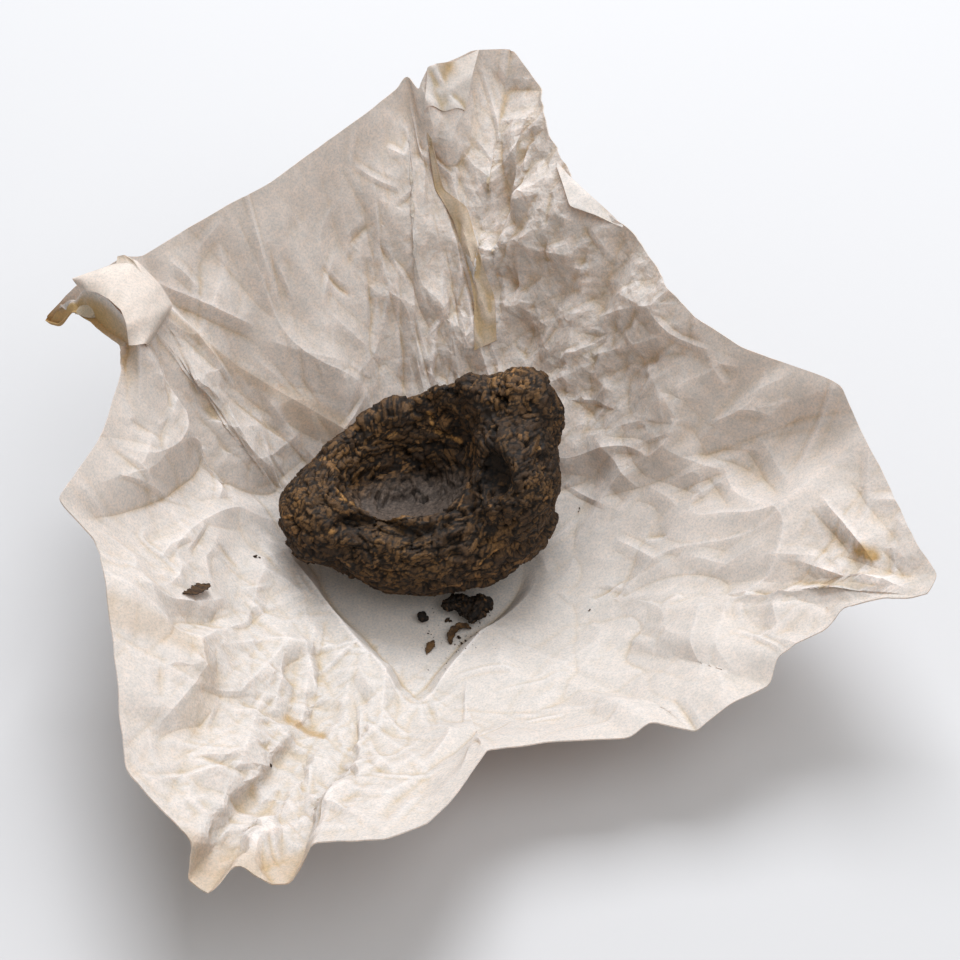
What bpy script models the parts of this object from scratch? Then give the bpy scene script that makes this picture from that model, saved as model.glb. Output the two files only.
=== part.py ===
# A small pressed tea nest lying on its opened tissue wrapper, with the bits of leaf that fell from it.
# Run with: blender --background --python part.py
# Metres, +Z up. The driving dimensions below are in millimetres and are turned to metres by MM.

import math

import bmesh
import bpy
import numpy as np
from mathutils import Matrix, Vector
from mathutils.bvhtree import BVHTree

MM = 0.001
GAP = 0.3                      # clearance between pieces that touch

# Wrapper: a square tissue, opened out round the tea and left crumpled
TISSUE_THICK = 0.22
TISSUE_CELLS = 34              # grid cells along one side of the square
TISSUE_HALF = 42.0             # half of the cut side, used for the scale of the crumpling
NEST_MIDDLE = (-6.0, -4.5)     # where the tissue lies flat under the tea
NEST_FLAT_RADIUS = 10.5
WALL_POWER = 1.25              # over 1 the wall is hollow, like a bowl
RIM_SMOOTHING = 0.22           # how far round the rim's own waves are evened out near the middle

# The rim of the tissue, corner by corner: x, y and height above the ground
RIM_LEFT_TO_TOP = (
    (-44.0, 11.7, 19.5), (-39.8, 10.8, 25.0), (-36.9, 11.1, 27.0), (-34.8, 12.3, 27.5), (-33.3, 13.2, 26.5),
    (-25.5, 19.2, 28.0), (-21.1, 21.4, 29.0), (-16.2, 25.6, 30.0), (-7.8, 33.8, 32.0), (-5.6, 34.4, 32.0),
    (-0.5, 37.7, 33.0),
)
RIM_TOP_TO_RIGHT = (
    (3.3, 37.9, 33.0), (6.2, 33.9, 31.0), (7.5, 28.0, 29.0), (11.2, 22.1, 27.0), (14.7, 18.6, 26.0),
    (16.9, 13.6, 25.5), (20.7, 7.2, 24.0), (25.2, 3.7, 23.0), (29.0, 2.3, 22.5), (33.8, -2.2, 24.0),
    (35.5, -5.0, 22.0), (38.4, -12.9, 20.5), (39.8, -17.8, 20.0), (41.3, -20.8, 19.5),
)
RIM_RIGHT_TO_NEAR = (
    (40.1, -22.8, 19.0), (33.0, -21.5, 16.0), (31.3, -23.4, 15.0), (27.0, -25.0, 13.0), (26.4, -27.3, 11.5),
    (23.1, -28.9, 11.0), (19.5, -31.2, 9.5), (15.4, -30.3, 10.0), (13.5, -31.9, 9.5), (5.8, -32.4, 10.0),
    (0.5, -34.0, 12.0), (-1.7, -39.5, 14.0), (-4.4, -43.5, 15.0), (-7.9, -45.6, 16.0), (-14.0, -45.3, 15.0),
    (-15.9, -47.9, 12.5), (-18.2, -47.6, 12.5), (-20.3, -46.4, 13.0),
)
RIM_NEAR_TO_LEFT = (
    (-22.6, -48.9, 12.5), (-24.6, -47.7, 13.0), (-24.1, -45.5, 15.0), (-29.4, -40.1, 18.0),
    (-31.4, -32.3, 19.0), (-33.0, -24.7, 19.5), (-34.7, -17.6, 20.5), (-37.7, -15.4, 24.0),
    (-35.7, -7.3, 22.5), (-34.3, 0.7, 23.5), (-34.9, 3.2, 23.5),
)

# The left corner is turned over into a hood: its top ends in a crest, with a steep drop on the near side.
# Places run from the middle (0) to the rim (1), and turns are in sides of the square from the corner.
HOOD_RISE = 8.0
HOOD_CREST = 0.945
HOOD_DROP = 0.045
HOOD_INNER = 0.33
HOOD_FAR_FADE = 0.28
HOOD_NEAR_TURN = (0.10, 0.25)  # where it dies out on the near side
HOOD_FAR_TURN = (0.10, 0.24)   # and on the far side
HOOD_CORNER_TURN = 0.09
HOOD_TIP = 0.55                 # share of its rise that is left at the corner's tip
HOOD_TIP_TURN = (0.015, 0.075)
# the fold between the hood and the tea is filled up to a slope
GUTTER_START = (-33.5, 5.0)
GUTTER_END = (-22.0, 2.5)
GUTTER_REACH = (2.5, 6.5)       # full width on each side, and where it dies out
GUTTER_LEVEL = -28.1            # the slope's height over the middle of the nest
GUTTER_SLOPE = (-1.44, 0.75)    # its rise along x and y
GUTTER_MOST = 24.0

# Large folds in the tissue: start and end on the ground plan, how far they stand up,
# and how wide they are on their left and right, seen from start to end
FOLDS = (
    ("top_pleat", (-6.2, 33.5), (1.2, 13.0), 1.5, 7.0, 1.8),
    ("left_crease", (-31.0, 9.6), (-14.0, 8.4), 1.4, 6.0, 2.4),
    ("right_ridge", (34.0, -2.5), (14.0, 3.0), 1.2, 2.0, 7.0),
    ("near_left_crease", (-18.8, -6.2), (-7.6, -22.6), 2.2, 1.6, 9.0),
    ("near_right_crease", (4.2, -8.2), (-5.2, -22.0), 1.4, 8.0, 1.3),
    ("knot_ridge", (-22.5, -44.0), (-18.5, -16.0), 1.3, 4.0, 2.5),
    ("left_ridge", (-33.5, -21.5), (-24.0, -24.5), 1.5, 3.0, 5.0),
)

# Random crumpling: size of the facets, how high they stand, and the seed of their pattern
CRUMPLE = ((13.0, 1.7, 11), (6.5, 0.8, 23))
RIM_CALM = 0.7                 # how much of the crumpling is held back at the rim

# Tea nest: a pressed bowl of leaf, lying on its domed side with the hollow up and towards the front
TEA_MIDDLE = (-6.0, -3.4)
TEA_SEED = 5
TEA_VOXEL = 0.9                # edge of the evened faces
TEA_SMOOTHING = 7
# Lobes of the body: name, centre from the middle of the tea, then radii
TEA_LOBES = (
    ("base", (0.4, -0.2, 6.4), (12.2, 8.1, 6.4)),
    ("left_lobe", (-8.8, -0.4, 7.6), (5.6, 6.0, 4.9)),
    ("far_left_rim", (-6.2, 3.6, 8.0), (5.6, 3.9, 5.3)),
    ("far_rim", (-1.2, 6.0, 8.8), (6.8, 3.7, 6.4)),
    ("far_right_rim", (3.4, 6.4, 10.6), (5.8, 3.5, 7.2)),
    ("right_shoulder", (6.2, 6.4, 12.4), (4.4, 3.2, 7.4)),
    ("right_lobe", (9.4, 1.0, 9.8), (5.3, 7.8, 8.4)),
    ("right_top", (9.4, 5.3, 13.0), (5.2, 3.9, 7.9)),
    ("near_belly", (0.8, -4.4, 6.1), (10.6, 4.7, 4.9)),
)
TEA_HOLLOWS = (
    ("hollow", (-2.0, 1.5, 17.0), (8.0, 6.4, 8.8)),
    ("dent", (6.9, -3.2, 16.2), (1.9, 2.3, 3.2)),
)
LEAF_COUNT = 420
LEAF_LENGTH = (2.0, 4.6)
LEAF_WIDTH = (0.9, 1.8)
LEAF_RISE = (0.25, 0.75)
LEAF_SINK = 0.35               # the lobes' own surface lies this deep under the strips

# Leaf that fell under the tea's near side: lobes as above, from their own middle
CLUMP_MIDDLE = (-1.4, -10.9)
CLUMP_VOXEL = 0.45
CLUMP_LOBES = (
    ("clump_left", (-0.9, 0.3, 0.7), (1.7, 1.1, 0.60)),
    ("clump_right", (1.0, 0.2, 0.7), (1.6, 1.1, 0.60)),
    ("clump_front", (0.5, -0.9, 0.75), (1.4, 1.2, 0.66)),
    ("clump_tip", (0.7, -1.7, 0.5), (0.8, 0.8, 0.45)),
)
CLUMP_LEAVES = 40

# Loose bits on the tissue: name, place, length, width, thickness, turn in degrees, share of bend
LOOSE_BITS = (
    ("loose_flake", (-26.6, -16.8), 3.0, 1.3, 0.45, 57.0, 0.12),
    ("loose_leaf", (-4.9, -15.4), 2.0, 0.9, 0.4, 70.0, 0.08),
    ("loose_curl", (-2.7, -14.2), 2.0, 0.9, 0.4, 62.0, 0.22),
    ("loose_bead", (-5.7, -12.0), 1.2, 1.1, 0.8, 0.0, 0.0),
)
BIT_CELLS = (8, 6)


def smooth_step(low, high, value):
    share = np.clip((value - low) / (high - low), 0.0, 1.0)
    return share * share * (3.0 - 2.0 * share)


# Rim of the tissue

def rim_table(samples=720):
    """The rim as evenly spaced samples of x, y, z, with a smoothed copy for the tissue's middle."""
    sides = (RIM_LEFT_TO_TOP, RIM_TOP_TO_RIGHT, RIM_RIGHT_TO_NEAR, RIM_NEAR_TO_LEFT)
    turns = []
    points = []
    for number, side in enumerate(sides):
        following = sides[(number + 1) % 4][0]
        chain = np.array(side + (following,))
        steps = np.linalg.norm(np.diff(chain, axis=0), axis=1)
        reached = np.concatenate([[0.0], np.cumsum(steps)])
        turns.extend(number + reached[:-1] / reached[-1])
        points.extend(side)
    turns = np.array(turns)
    points = np.array(points)
    at = np.arange(samples) * 4.0 / samples
    sharp = np.stack([np.interp(at, turns, points[:, axis], period=4.0) for axis in range(3)], 1)
    spread = np.arange(-samples // 2, samples // 2) * 4.0 / samples
    kernel = np.exp(-(spread / RIM_SMOOTHING) ** 2)
    kernel = np.fft.fft(np.fft.ifftshift(kernel / kernel.sum()))
    soft = np.stack([np.fft.ifft(np.fft.fft(sharp[:, axis]) * kernel).real for axis in range(3)], 1)
    return at, sharp, soft


def turn_of(across, along):
    """Where a ray from the square's middle meets its edge: 0 to 4, corner by corner."""
    reach = np.maximum(np.maximum(abs(across), abs(along)), 1e-9)
    x = across / reach
    y = along / reach
    turn = np.where(y >= abs(x), (x + 1.0) / 2.0, 0.0)
    turn = np.where((x >= abs(y)) & (y < x), 1.0 + (1.0 - y) / 2.0, turn)
    turn = np.where((-y >= abs(x)) & (-y > x - 1e-12), 2.0 + (1.0 - x) / 2.0, turn)
    turn = np.where((-x >= abs(y)) & (-x > -y), 3.0 + (1.0 + y) / 2.0, turn)
    return turn % 4.0


def nest_surface(across, along):
    """The bare nest, with no folds: x, y and z for places on the square, each from -1 to 1."""
    at, sharp, soft = rim_table()
    share = np.maximum(abs(across), abs(along))
    turn = turn_of(across, along)
    blend = smooth_step(0.3, 0.95, share)
    rim = []
    for axis in range(3):
        fine = np.interp(turn, at, sharp[:, axis], period=4.0)
        even = np.interp(turn, at, soft[:, axis], period=4.0)
        rim.append(even + (fine - even) * blend)
    reach = np.hypot(rim[0] - NEST_MIDDLE[0], rim[1] - NEST_MIDDLE[1])
    flat = NEST_FLAT_RADIUS / reach
    climb = np.clip((share - flat) / (1.0 - flat), 0.0, 1.0)
    x = NEST_MIDDLE[0] + (rim[0] - NEST_MIDDLE[0]) * share
    y = NEST_MIDDLE[1] + (rim[1] - NEST_MIDDLE[1]) * share
    z = TISSUE_THICK + (rim[2] - TISSUE_THICK) * climb ** WALL_POWER
    return np.stack([x, y, z], -1), climb


def hood_height(across, along):
    """Height of the left corner's hood above the bare nest."""
    share = np.maximum(abs(across), abs(along))
    turn = turn_of(across, along)
    beside = np.where(turn > 2.0, turn - 4.0, turn)
    inner = smooth_step(0.0, 1.0, 1.0 + (share - HOOD_CREST) / HOOD_INNER)
    near_side = inner * (1.0 - np.clip((share - HOOD_CREST) / HOOD_DROP, 0.0, 1.0))
    near_side *= 1.0 - smooth_step(*HOOD_NEAR_TURN, -beside)
    far_side = inner * np.clip((1.0 - share) / HOOD_FAR_FADE, 0.0, 1.0)
    far_side *= 1.0 - smooth_step(*HOOD_FAR_TURN, beside)
    far = smooth_step(0.0, HOOD_CORNER_TURN, beside)
    tip = HOOD_TIP + (1.0 - HOOD_TIP) * smooth_step(*HOOD_TIP_TURN, abs(beside))
    return HOOD_RISE * tip * (near_side * (1.0 - far) + far_side * far)


def along_line(x, y, start, end):
    """Distances along a line on the plan and to its left, and the line's length."""
    run = np.array(end) - np.array(start)
    length = np.linalg.norm(run)
    run = run / length
    along = (x - start[0]) * run[0] + (y - start[1]) * run[1]
    aside = (x - start[0]) * -run[1] + (y - start[1]) * run[0]
    return along, aside, length


def gutter_rise(x, y, z):
    """How much higher a place becomes where the fold beside the hood is filled up."""
    along, aside, length = along_line(x, y, GUTTER_START, GUTTER_END)
    away = np.hypot(aside, np.maximum(np.maximum(-along, along - length), 0.0))
    level = np.minimum(GUTTER_LEVEL + GUTTER_SLOPE[0] * x + GUTTER_SLOPE[1] * y, GUTTER_MOST)
    return np.maximum(level - z, 0.0) * (1.0 - smooth_step(*GUTTER_REACH, away))


def facets(x, y, size, seed):
    """Crumpling as a net of flat triangles with random corner heights, in -1 to 1."""
    rng = np.random.default_rng(seed)
    heights = rng.uniform(-1.0, 1.0, (64, 64))
    slant = rng.integers(0, 2, (64, 64))
    turned = seed * 0.7
    a = (x * math.cos(turned) - y * math.sin(turned)) / size
    b = (x * math.sin(turned) + y * math.cos(turned)) / size
    a, b = (a + 0.33 * np.sin(b * 2.1 + seed) + 0.14 * np.sin(b * 5.3 + 1.7 * seed),
            b + 0.33 * np.sin(a * 1.9 - seed) + 0.14 * np.sin(a * 4.7 + 0.6 * seed))
    column = np.floor(a).astype(int)
    row = np.floor(b).astype(int)
    p = a - column
    q = b - row
    corner = [[heights[(column + i) % 64, (row + j) % 64] for j in (0, 1)] for i in (0, 1)]
    flip = slant[column % 64, row % 64] == 1
    rising = np.where(p > q,
                      corner[0][0] + (corner[1][0] - corner[0][0]) * p + (corner[1][1] - corner[1][0]) * q,
                      corner[0][0] + (corner[0][1] - corner[0][0]) * q + (corner[1][1] - corner[0][1]) * p)
    falling = np.where(p + q < 1.0,
                       corner[0][0] + (corner[1][0] - corner[0][0]) * p + (corner[0][1] - corner[0][0]) * q,
                       corner[1][1] + (corner[0][1] - corner[1][1]) * (1 - p)
                       + (corner[1][0] - corner[1][1]) * (1 - q))
    return np.where(flip, rising, falling)


def fold_height(x, y):
    """Height of the large folds above the bare nest."""
    total = np.zeros_like(x)
    for _, start, end, rise, left_width, right_width in FOLDS:
        along, aside, length = along_line(x, y, start, end)
        slope = np.where(aside > 0.0, 1.0 - aside / left_width, 1.0 + aside / right_width)
        ends = smooth_step(-4.0, 3.0, along) * (1.0 - smooth_step(length - 3.0, length + 4.0, along))
        total += rise * np.clip(slope, 0.0, 1.0) * ends
    return total


def grid_normals(points):
    """Unit normals of a square grid of points."""
    along_u = np.gradient(points, axis=0)
    along_v = np.gradient(points, axis=1)
    normal = np.cross(along_u, along_v)
    return normal / np.linalg.norm(normal, axis=-1, keepdims=True)


def tissue_points():
    """Upper and lower face of the tissue, as two square grids of points in millimetres."""
    steps = np.linspace(-1.0, 1.0, TISSUE_CELLS + 1)
    across, along = np.meshgrid(steps, steps, indexing="ij")
    points, climb = nest_surface(across, along)
    normal = grid_normals(points)
    share = np.maximum(abs(across), abs(along))
    loose = smooth_step(0.0, 0.3, climb) * (1.0 - RIM_CALM * smooth_step(0.85, 1.0, share))
    lift = np.zeros_like(climb)
    for size, rise, seed in CRUMPLE:
        lift += rise * facets(across * TISSUE_HALF, along * TISSUE_HALF, size, seed)
    upper = points + normal * (lift * loose)[..., None]
    upper[..., 2] += fold_height(points[..., 0], points[..., 1]) * smooth_step(0.0, 0.05, climb)
    raised = hood_height(across, along)
    upper[..., 2] += raised
    upper[..., 2] += gutter_rise(points[..., 0], points[..., 1], points[..., 2] + raised)
    upper[..., 2] = np.maximum(upper[..., 2], TISSUE_THICK)
    lower = upper - grid_normals(upper) * TISSUE_THICK
    lower[climb <= 0.0, 2] = 0.0
    lower[..., 2] = np.maximum(lower[..., 2], 0.0)
    return upper, lower


def flatter_split(corners):
    """Which way to cut a four-sided face so that its two triangles bend least."""
    def bend(split):
        a, b = (np.cross(corners[j] - corners[i], corners[k] - corners[i]) for i, j, k in split)
        return 1.0 - a @ b / (np.linalg.norm(a) * np.linalg.norm(b))
    return min(((0, 1, 2), (0, 2, 3)), ((0, 1, 3), (1, 2, 3)), key=bend)


def closed_sheet(name, upper, lower):
    """A thin closed solid between two grids of points, both faces split into triangles alike."""
    rows, columns = upper.shape[:2]
    mesh = bpy.data.meshes.new(name)
    built = bmesh.new()
    top = [[built.verts.new(Vector(upper[i, j]) * MM) for j in range(columns)] for i in range(rows)]
    under = [[built.verts.new(Vector(lower[i, j]) * MM) for j in range(columns)] for i in range(rows)]
    for i in range(rows - 1):
        for j in range(columns - 1):
            corners = ((i, j), (i + 1, j), (i + 1, j + 1), (i, j + 1))
            for triangle in flatter_split([upper[corner] for corner in corners]):
                picked = [corners[k] for k in triangle]
                built.faces.new([top[a][b] for a, b in picked])
                built.faces.new([under[a][b] for a, b in reversed(picked)])
    edge = [(i, 0) for i in range(rows - 1)] + [(rows - 1, j) for j in range(columns - 1)]
    edge += [(i, columns - 1) for i in range(rows - 1, 0, -1)] + [(0, j) for j in range(columns - 1, 0, -1)]
    for here, there in zip(edge, edge[1:] + edge[:1]):
        a, b = top[here[0]][here[1]], top[there[0]][there[1]]
        c, d = under[there[0]][there[1]], under[here[0]][here[1]]
        built.faces.new((b, a, d))
        built.faces.new((b, d, c))
    bmesh.ops.recalc_face_normals(built, faces=built.faces)
    built.to_mesh(mesh)
    built.free()
    return mesh


# Tea

def ball(built, centre, radii, detail=4):
    """Adds a closed ellipsoid to a mesh that is being built."""
    place_and_size = Matrix.LocRotScale(Vector(centre) * MM, None, Vector(radii) * MM)
    bmesh.ops.create_icosphere(built, subdivisions=detail, radius=1.0, matrix=place_and_size)


def balls(name, rows):
    """One object that holds an ellipsoid for each row."""
    built = bmesh.new()
    for _, centre, radii in rows:
        ball(built, centre, radii)
    mesh = bpy.data.meshes.new(name)
    built.to_mesh(mesh)
    built.free()
    made = bpy.data.objects.new(name, mesh)
    bpy.context.scene.collection.objects.link(made)
    return made


def even_out(made, size):
    remesh = made.modifiers.new("even_faces", "REMESH")
    remesh.mode = "VOXEL"
    remesh.voxel_size = size * MM


def soften(made, rounds):
    smooth = made.modifiers.new("soften", "SMOOTH")
    smooth.factor = 0.5
    smooth.iterations = rounds


def finished_mesh(made):
    """The object's mesh with its modifiers applied; the object itself is removed."""
    bpy.context.view_layer.update()
    seen = made.evaluated_get(bpy.context.evaluated_depsgraph_get())
    mesh = bpy.data.meshes.new_from_object(seen)
    bpy.data.objects.remove(made, do_unlink=True)
    return mesh


def leaf_relief(points, normals, count, seed):
    """Height of pressed leaf strips at each point: each strip is a low mound in a random direction."""
    rng = np.random.default_rng(seed)
    rise = np.zeros(len(points))
    for chosen in rng.integers(0, len(points), count):
        length = rng.uniform(*LEAF_LENGTH) / 2.0
        width = rng.uniform(*LEAF_WIDTH) / 2.0
        tall = rng.uniform(*LEAF_RISE)
        run = np.cross(normals[chosen], rng.normal(size=3))
        run /= np.linalg.norm(run)
        side = np.cross(normals[chosen], run)
        away = points - points[chosen]
        near = np.linalg.norm(away, axis=1) < length * 1.2
        along = (away[near] @ run) / length
        aside = (away[near] @ side) / width + 0.25 * np.sin(along * 3.0)
        mound = tall * np.clip(1.0 - along ** 2, 0.0, 1.0) * np.clip(1.0 - aside ** 2, 0.0, 1.0)
        rise[near] = np.maximum(rise[near], mound)
    return rise


def arrays_of(mesh):
    """Points in millimetres, point normals and faces of a mesh."""
    points = np.array([v.co for v in mesh.vertices]) / MM
    normals = np.array([v.normal for v in mesh.vertices])
    faces = [list(f.vertices) for f in mesh.polygons]
    return points, normals, faces


def pressed(name, lobes, hollows, voxel, smoothing, leaves, sink, seed):
    """Lobes run together, hollows taken out, faces evened, and leaf strips raised on the surface."""
    body = balls(name, lobes)
    even_out(body, voxel)
    cutters = []
    for row in hollows:
        cutter = balls(row[0], (row,))
        cutter.hide_render = True
        cutter.display_type = "WIRE"
        cut = body.modifiers.new(row[0], "BOOLEAN")
        cut.operation = "DIFFERENCE"
        cut.object = cutter
        cutters.append(cutter)
    if hollows:
        even_out(body, voxel)
    soften(body, smoothing)
    plain = finished_mesh(body)
    for cutter in cutters:
        bpy.data.objects.remove(cutter, do_unlink=True)
    points, normals, faces = arrays_of(plain)
    bpy.data.meshes.remove(plain)
    points = points + normals * (leaf_relief(points, normals, leaves, seed) - sink)[:, None]
    return points, faces


def tea_mesh():
    """The pressed tea, set down on the tissue's flat middle."""
    points, faces = pressed("tuocha", TEA_LOBES, TEA_HOLLOWS, TEA_VOXEL, TEA_SMOOTHING,
                            LEAF_COUNT, LEAF_SINK, TEA_SEED)
    points += (*TEA_MIDDLE, TISSUE_THICK + GAP - points[:, 2].min())
    return mesh_of("tuocha", points, faces)


def clump_mesh():
    """The fallen leaf, lying under the tea's near side."""
    points, faces = pressed("fallen_clump", CLUMP_LOBES, (), CLUMP_VOXEL, 2, CLUMP_LEAVES, 0.1, TEA_SEED + 1)
    points += (*CLUMP_MIDDLE, TISSUE_THICK + GAP - points[:, 2].min())
    return mesh_of("fallen_clump", points, faces)


# Loose bits

def height_below(tree, x, y):
    """Height of the tissue straight below a place, in millimetres."""
    hit = tree.ray_cast(Vector((x, y, 100.0)) * MM, Vector((0.0, 0.0, -1.0)))
    return hit[0].z / MM


def loose_bit(tree, middle, length, width, thickness, turn, bend):
    """Upper and lower face of a small curled leaf that lies along the tissue's slope."""
    u, v = np.meshgrid(np.linspace(-1.0, 1.0, BIT_CELLS[0] + 1), np.linspace(-1.0, 1.0, BIT_CELLS[1] + 1),
                       indexing="ij")
    half = width / 2.0 * np.sqrt(1.0 - (0.93 * u) ** 2)
    x = u * length / 2.0
    y = v * half + 0.12 * width * np.sin(2.5 * u)
    curl = bend * length * (u ** 2 + 0.6 * v ** 2) + 0.05 * thickness * np.cos(7.0 * u + 4.0 * v)
    around = math.radians(turn)
    plan_x = middle[0] + x * math.cos(around) - y * math.sin(around)
    plan_y = middle[1] + x * math.sin(around) + y * math.cos(around)
    ground = height_below(tree, *middle)
    slope_x = (height_below(tree, middle[0] + 1.0, middle[1]) - height_below(tree, middle[0] - 1.0, middle[1])) / 2
    slope_y = (height_below(tree, middle[0], middle[1] + 1.0) - height_below(tree, middle[0], middle[1] - 1.0)) / 2
    lean = ground + slope_x * (plan_x - middle[0]) + slope_y * (plan_y - middle[1])
    edge = thickness * (1.0 - 0.6 * np.maximum(abs(u), abs(v)) ** 2)
    lower = np.stack([plan_x, plan_y, lean + curl], -1)
    below = [height_below(tree, *place[:2]) for place in lower.reshape(-1, 3)]
    lower[..., 2] += GAP - (lower[..., 2].ravel() - below).min()
    upper = lower.copy()
    upper[..., 2] += edge
    return upper, lower


def mesh_of(name, points, faces):
    """A triangle mesh from points in millimetres."""
    mesh = bpy.data.meshes.new(name)
    mesh.from_pydata([tuple(p * MM) for p in points], [], faces)
    built = bmesh.new()
    built.from_mesh(mesh)
    bmesh.ops.triangulate(built, faces=built.faces)
    bmesh.ops.recalc_face_normals(built, faces=built.faces)
    built.to_mesh(mesh)
    built.free()
    return mesh


def material(name, colour, roughness):
    made = bpy.data.materials.new(name)
    made.use_nodes = True
    shader = made.node_tree.nodes["Principled BSDF"]
    shader.inputs["Base Color"].default_value = (*colour, 1.0)
    shader.inputs["Roughness"].default_value = roughness
    return made


def place(name, mesh, parts, finish):
    made = bpy.data.objects.new(name, mesh)
    made.data.materials.append(finish)
    parts.objects.link(made)
    return made


def main():
    for old in list(bpy.data.objects):
        bpy.data.objects.remove(old, do_unlink=True)
    parts = bpy.data.collections.new("tea_nest_on_wrapper")
    bpy.context.scene.collection.children.link(parts)
    tissue = material("tissue", (0.74, 0.69, 0.62), 0.85)
    tea = material("pressed_tea", (0.055, 0.033, 0.02), 0.8)
    crumb = material("loose_tea", (0.04, 0.024, 0.016), 0.8)

    upper, lower = tissue_points()
    wrapper = place("wrapper", closed_sheet("wrapper", upper, lower), parts, tissue)
    place("tuocha", tea_mesh(), parts, tea)
    place("fallen_clump", clump_mesh(), parts, crumb)
    tree = BVHTree.FromObject(wrapper, bpy.context.evaluated_depsgraph_get())
    for name, middle, length, width, thickness, turn, bend in LOOSE_BITS:
        faces = loose_bit(tree, middle, length, width, thickness, turn, bend)
        place(name, closed_sheet(name, *faces), parts, crumb)

    # the origin goes to the middle of the whole model's box, on the ground
    ends = np.array([corner for made in parts.objects for corner in made.bound_box])
    centre = (ends.min(0) + ends.max(0)) / 2.0
    for made in parts.objects:
        made.data.transform(Matrix.Translation((-centre[0], -centre[1], -ends[:, 2].min())))


main()
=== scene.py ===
# A small pressed tea nest on its opened, crumpled tissue wrapper, with the crumbs that fell from it.
import math

import bmesh
import bpy
import numpy as np
from mathutils import Matrix, Vector
from mathutils.bvhtree import BVHTree
from mathutils.geometry import delaunay_2d_cdt


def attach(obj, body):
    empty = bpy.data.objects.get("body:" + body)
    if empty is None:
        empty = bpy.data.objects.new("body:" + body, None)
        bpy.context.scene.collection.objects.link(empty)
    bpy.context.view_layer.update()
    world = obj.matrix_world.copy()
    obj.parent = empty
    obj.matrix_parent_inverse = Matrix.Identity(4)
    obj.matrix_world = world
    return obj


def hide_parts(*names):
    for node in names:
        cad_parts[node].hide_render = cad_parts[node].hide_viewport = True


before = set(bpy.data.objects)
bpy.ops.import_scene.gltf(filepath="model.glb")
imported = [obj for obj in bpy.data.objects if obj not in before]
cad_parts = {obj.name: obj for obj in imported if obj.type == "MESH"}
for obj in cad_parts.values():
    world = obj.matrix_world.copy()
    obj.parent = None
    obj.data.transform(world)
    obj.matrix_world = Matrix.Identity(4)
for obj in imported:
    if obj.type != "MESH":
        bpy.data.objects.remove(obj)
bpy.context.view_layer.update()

mm = 0.001

# Everything below is laid out in millimetres from a point beside the tea, as the solids were before they
# were centred. The part's origin is on the ground under the middle of the solids' box.
nestToPart = np.array((1.372, 5.412, 0.0))


# sRGB hex to the linear colour that a shader takes
def linearColour(hexText):
    parts = [int(hexText[i:i + 2], 16) / 255.0 for i in (1, 3, 5)]
    return tuple(c / 12.92 if c <= 0.04045 else ((c + 0.055) / 1.055) ** 2.4 for c in parts) + (1.0,)


def addNode(tree, kind, inputs=None, **settings):
    # adds one node; an input is either a value or another node's output socket
    made = tree.nodes.new(kind)
    for name, value in settings.items():
        setattr(made, name, value)
    for name, value in (inputs or {}).items():
        if isinstance(value, bpy.types.NodeSocket):
            tree.links.new(value, made.inputs[name])
        else:
            made.inputs[name].default_value = value
    return made


def multiplied(tree, first, second):
    return addNode(tree, "ShaderNodeMath", {0: first, 1: second}, operation="MULTIPLY").outputs[0]


# a value carried over from one range to another and held inside it
def ranged(tree, value, low, high, least, most):
    return addNode(tree, "ShaderNodeMapRange", {"Value": value, "From Min": low, "From Max": high,
                                                "To Min": least, "To Max": most}).outputs["Result"]


# two colours mixed; a mix node takes its colours as inputs 6 and 7 and gives a colour as output 2
def mixed(tree, share, first, second, blend="MIX"):
    return addNode(tree, "ShaderNodeMix", {"Factor": share, 6: first, 7: second},
                   data_type="RGBA", blend_type=blend).outputs[2]


# a colour by value; the first stop is at 0 and the last at 1
def rampColour(tree, value, stops):
    made = addNode(tree, "ShaderNodeValToRGB", {"Fac": value})
    elements = made.color_ramp.elements
    elements[0].color = linearColour(stops[0][1])
    elements[1].color = linearColour(stops[-1][1])
    for at, text in stops[1:-1]:
        elements.new(at).color = linearColour(text)
    return made.outputs["Color"]


# a value that is stored on the mesh's points
def storedValue(tree, name):
    return addNode(tree, "ShaderNodeAttribute", attribute_name=name).outputs["Fac"]


# a new material with nothing but an output node, with its tree and that node
def newMaterial(name):
    made = bpy.data.materials.new(name)
    made.use_nodes = True
    made.node_tree.nodes.clear()
    return made, made.node_tree, addNode(made.node_tree, "ShaderNodeOutputMaterial")


def storeFloat(mesh, name, values):
    stored = mesh.attributes.new(name, "FLOAT", "POINT")
    stored.data.foreach_set("value", np.asarray(values, float))


def linkedObject(name, data):
    made = bpy.data.objects.new(name, data)
    bpy.context.scene.collection.objects.link(made)
    return made


# a finished mesh as a piece with its material
def dressedPiece(name, mesh, finish):
    mesh.materials.clear()
    mesh.materials.append(finish)
    print(name + ":", len(mesh.polygons), "faces")
    return linkedObject(name, mesh)


def smoothStep(low, high, value):
    share = np.clip((value - low) / (high - low), 0.0, 1.0)
    return share * share * (3.0 - 2.0 * share)


# 1 at a place, fading to nothing over the reach
def nearness(points, spot, reach):
    return np.exp(-(np.linalg.norm(points - spot, axis=-1) / reach) ** 2)


# Patterns that crumple the tissue

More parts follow.
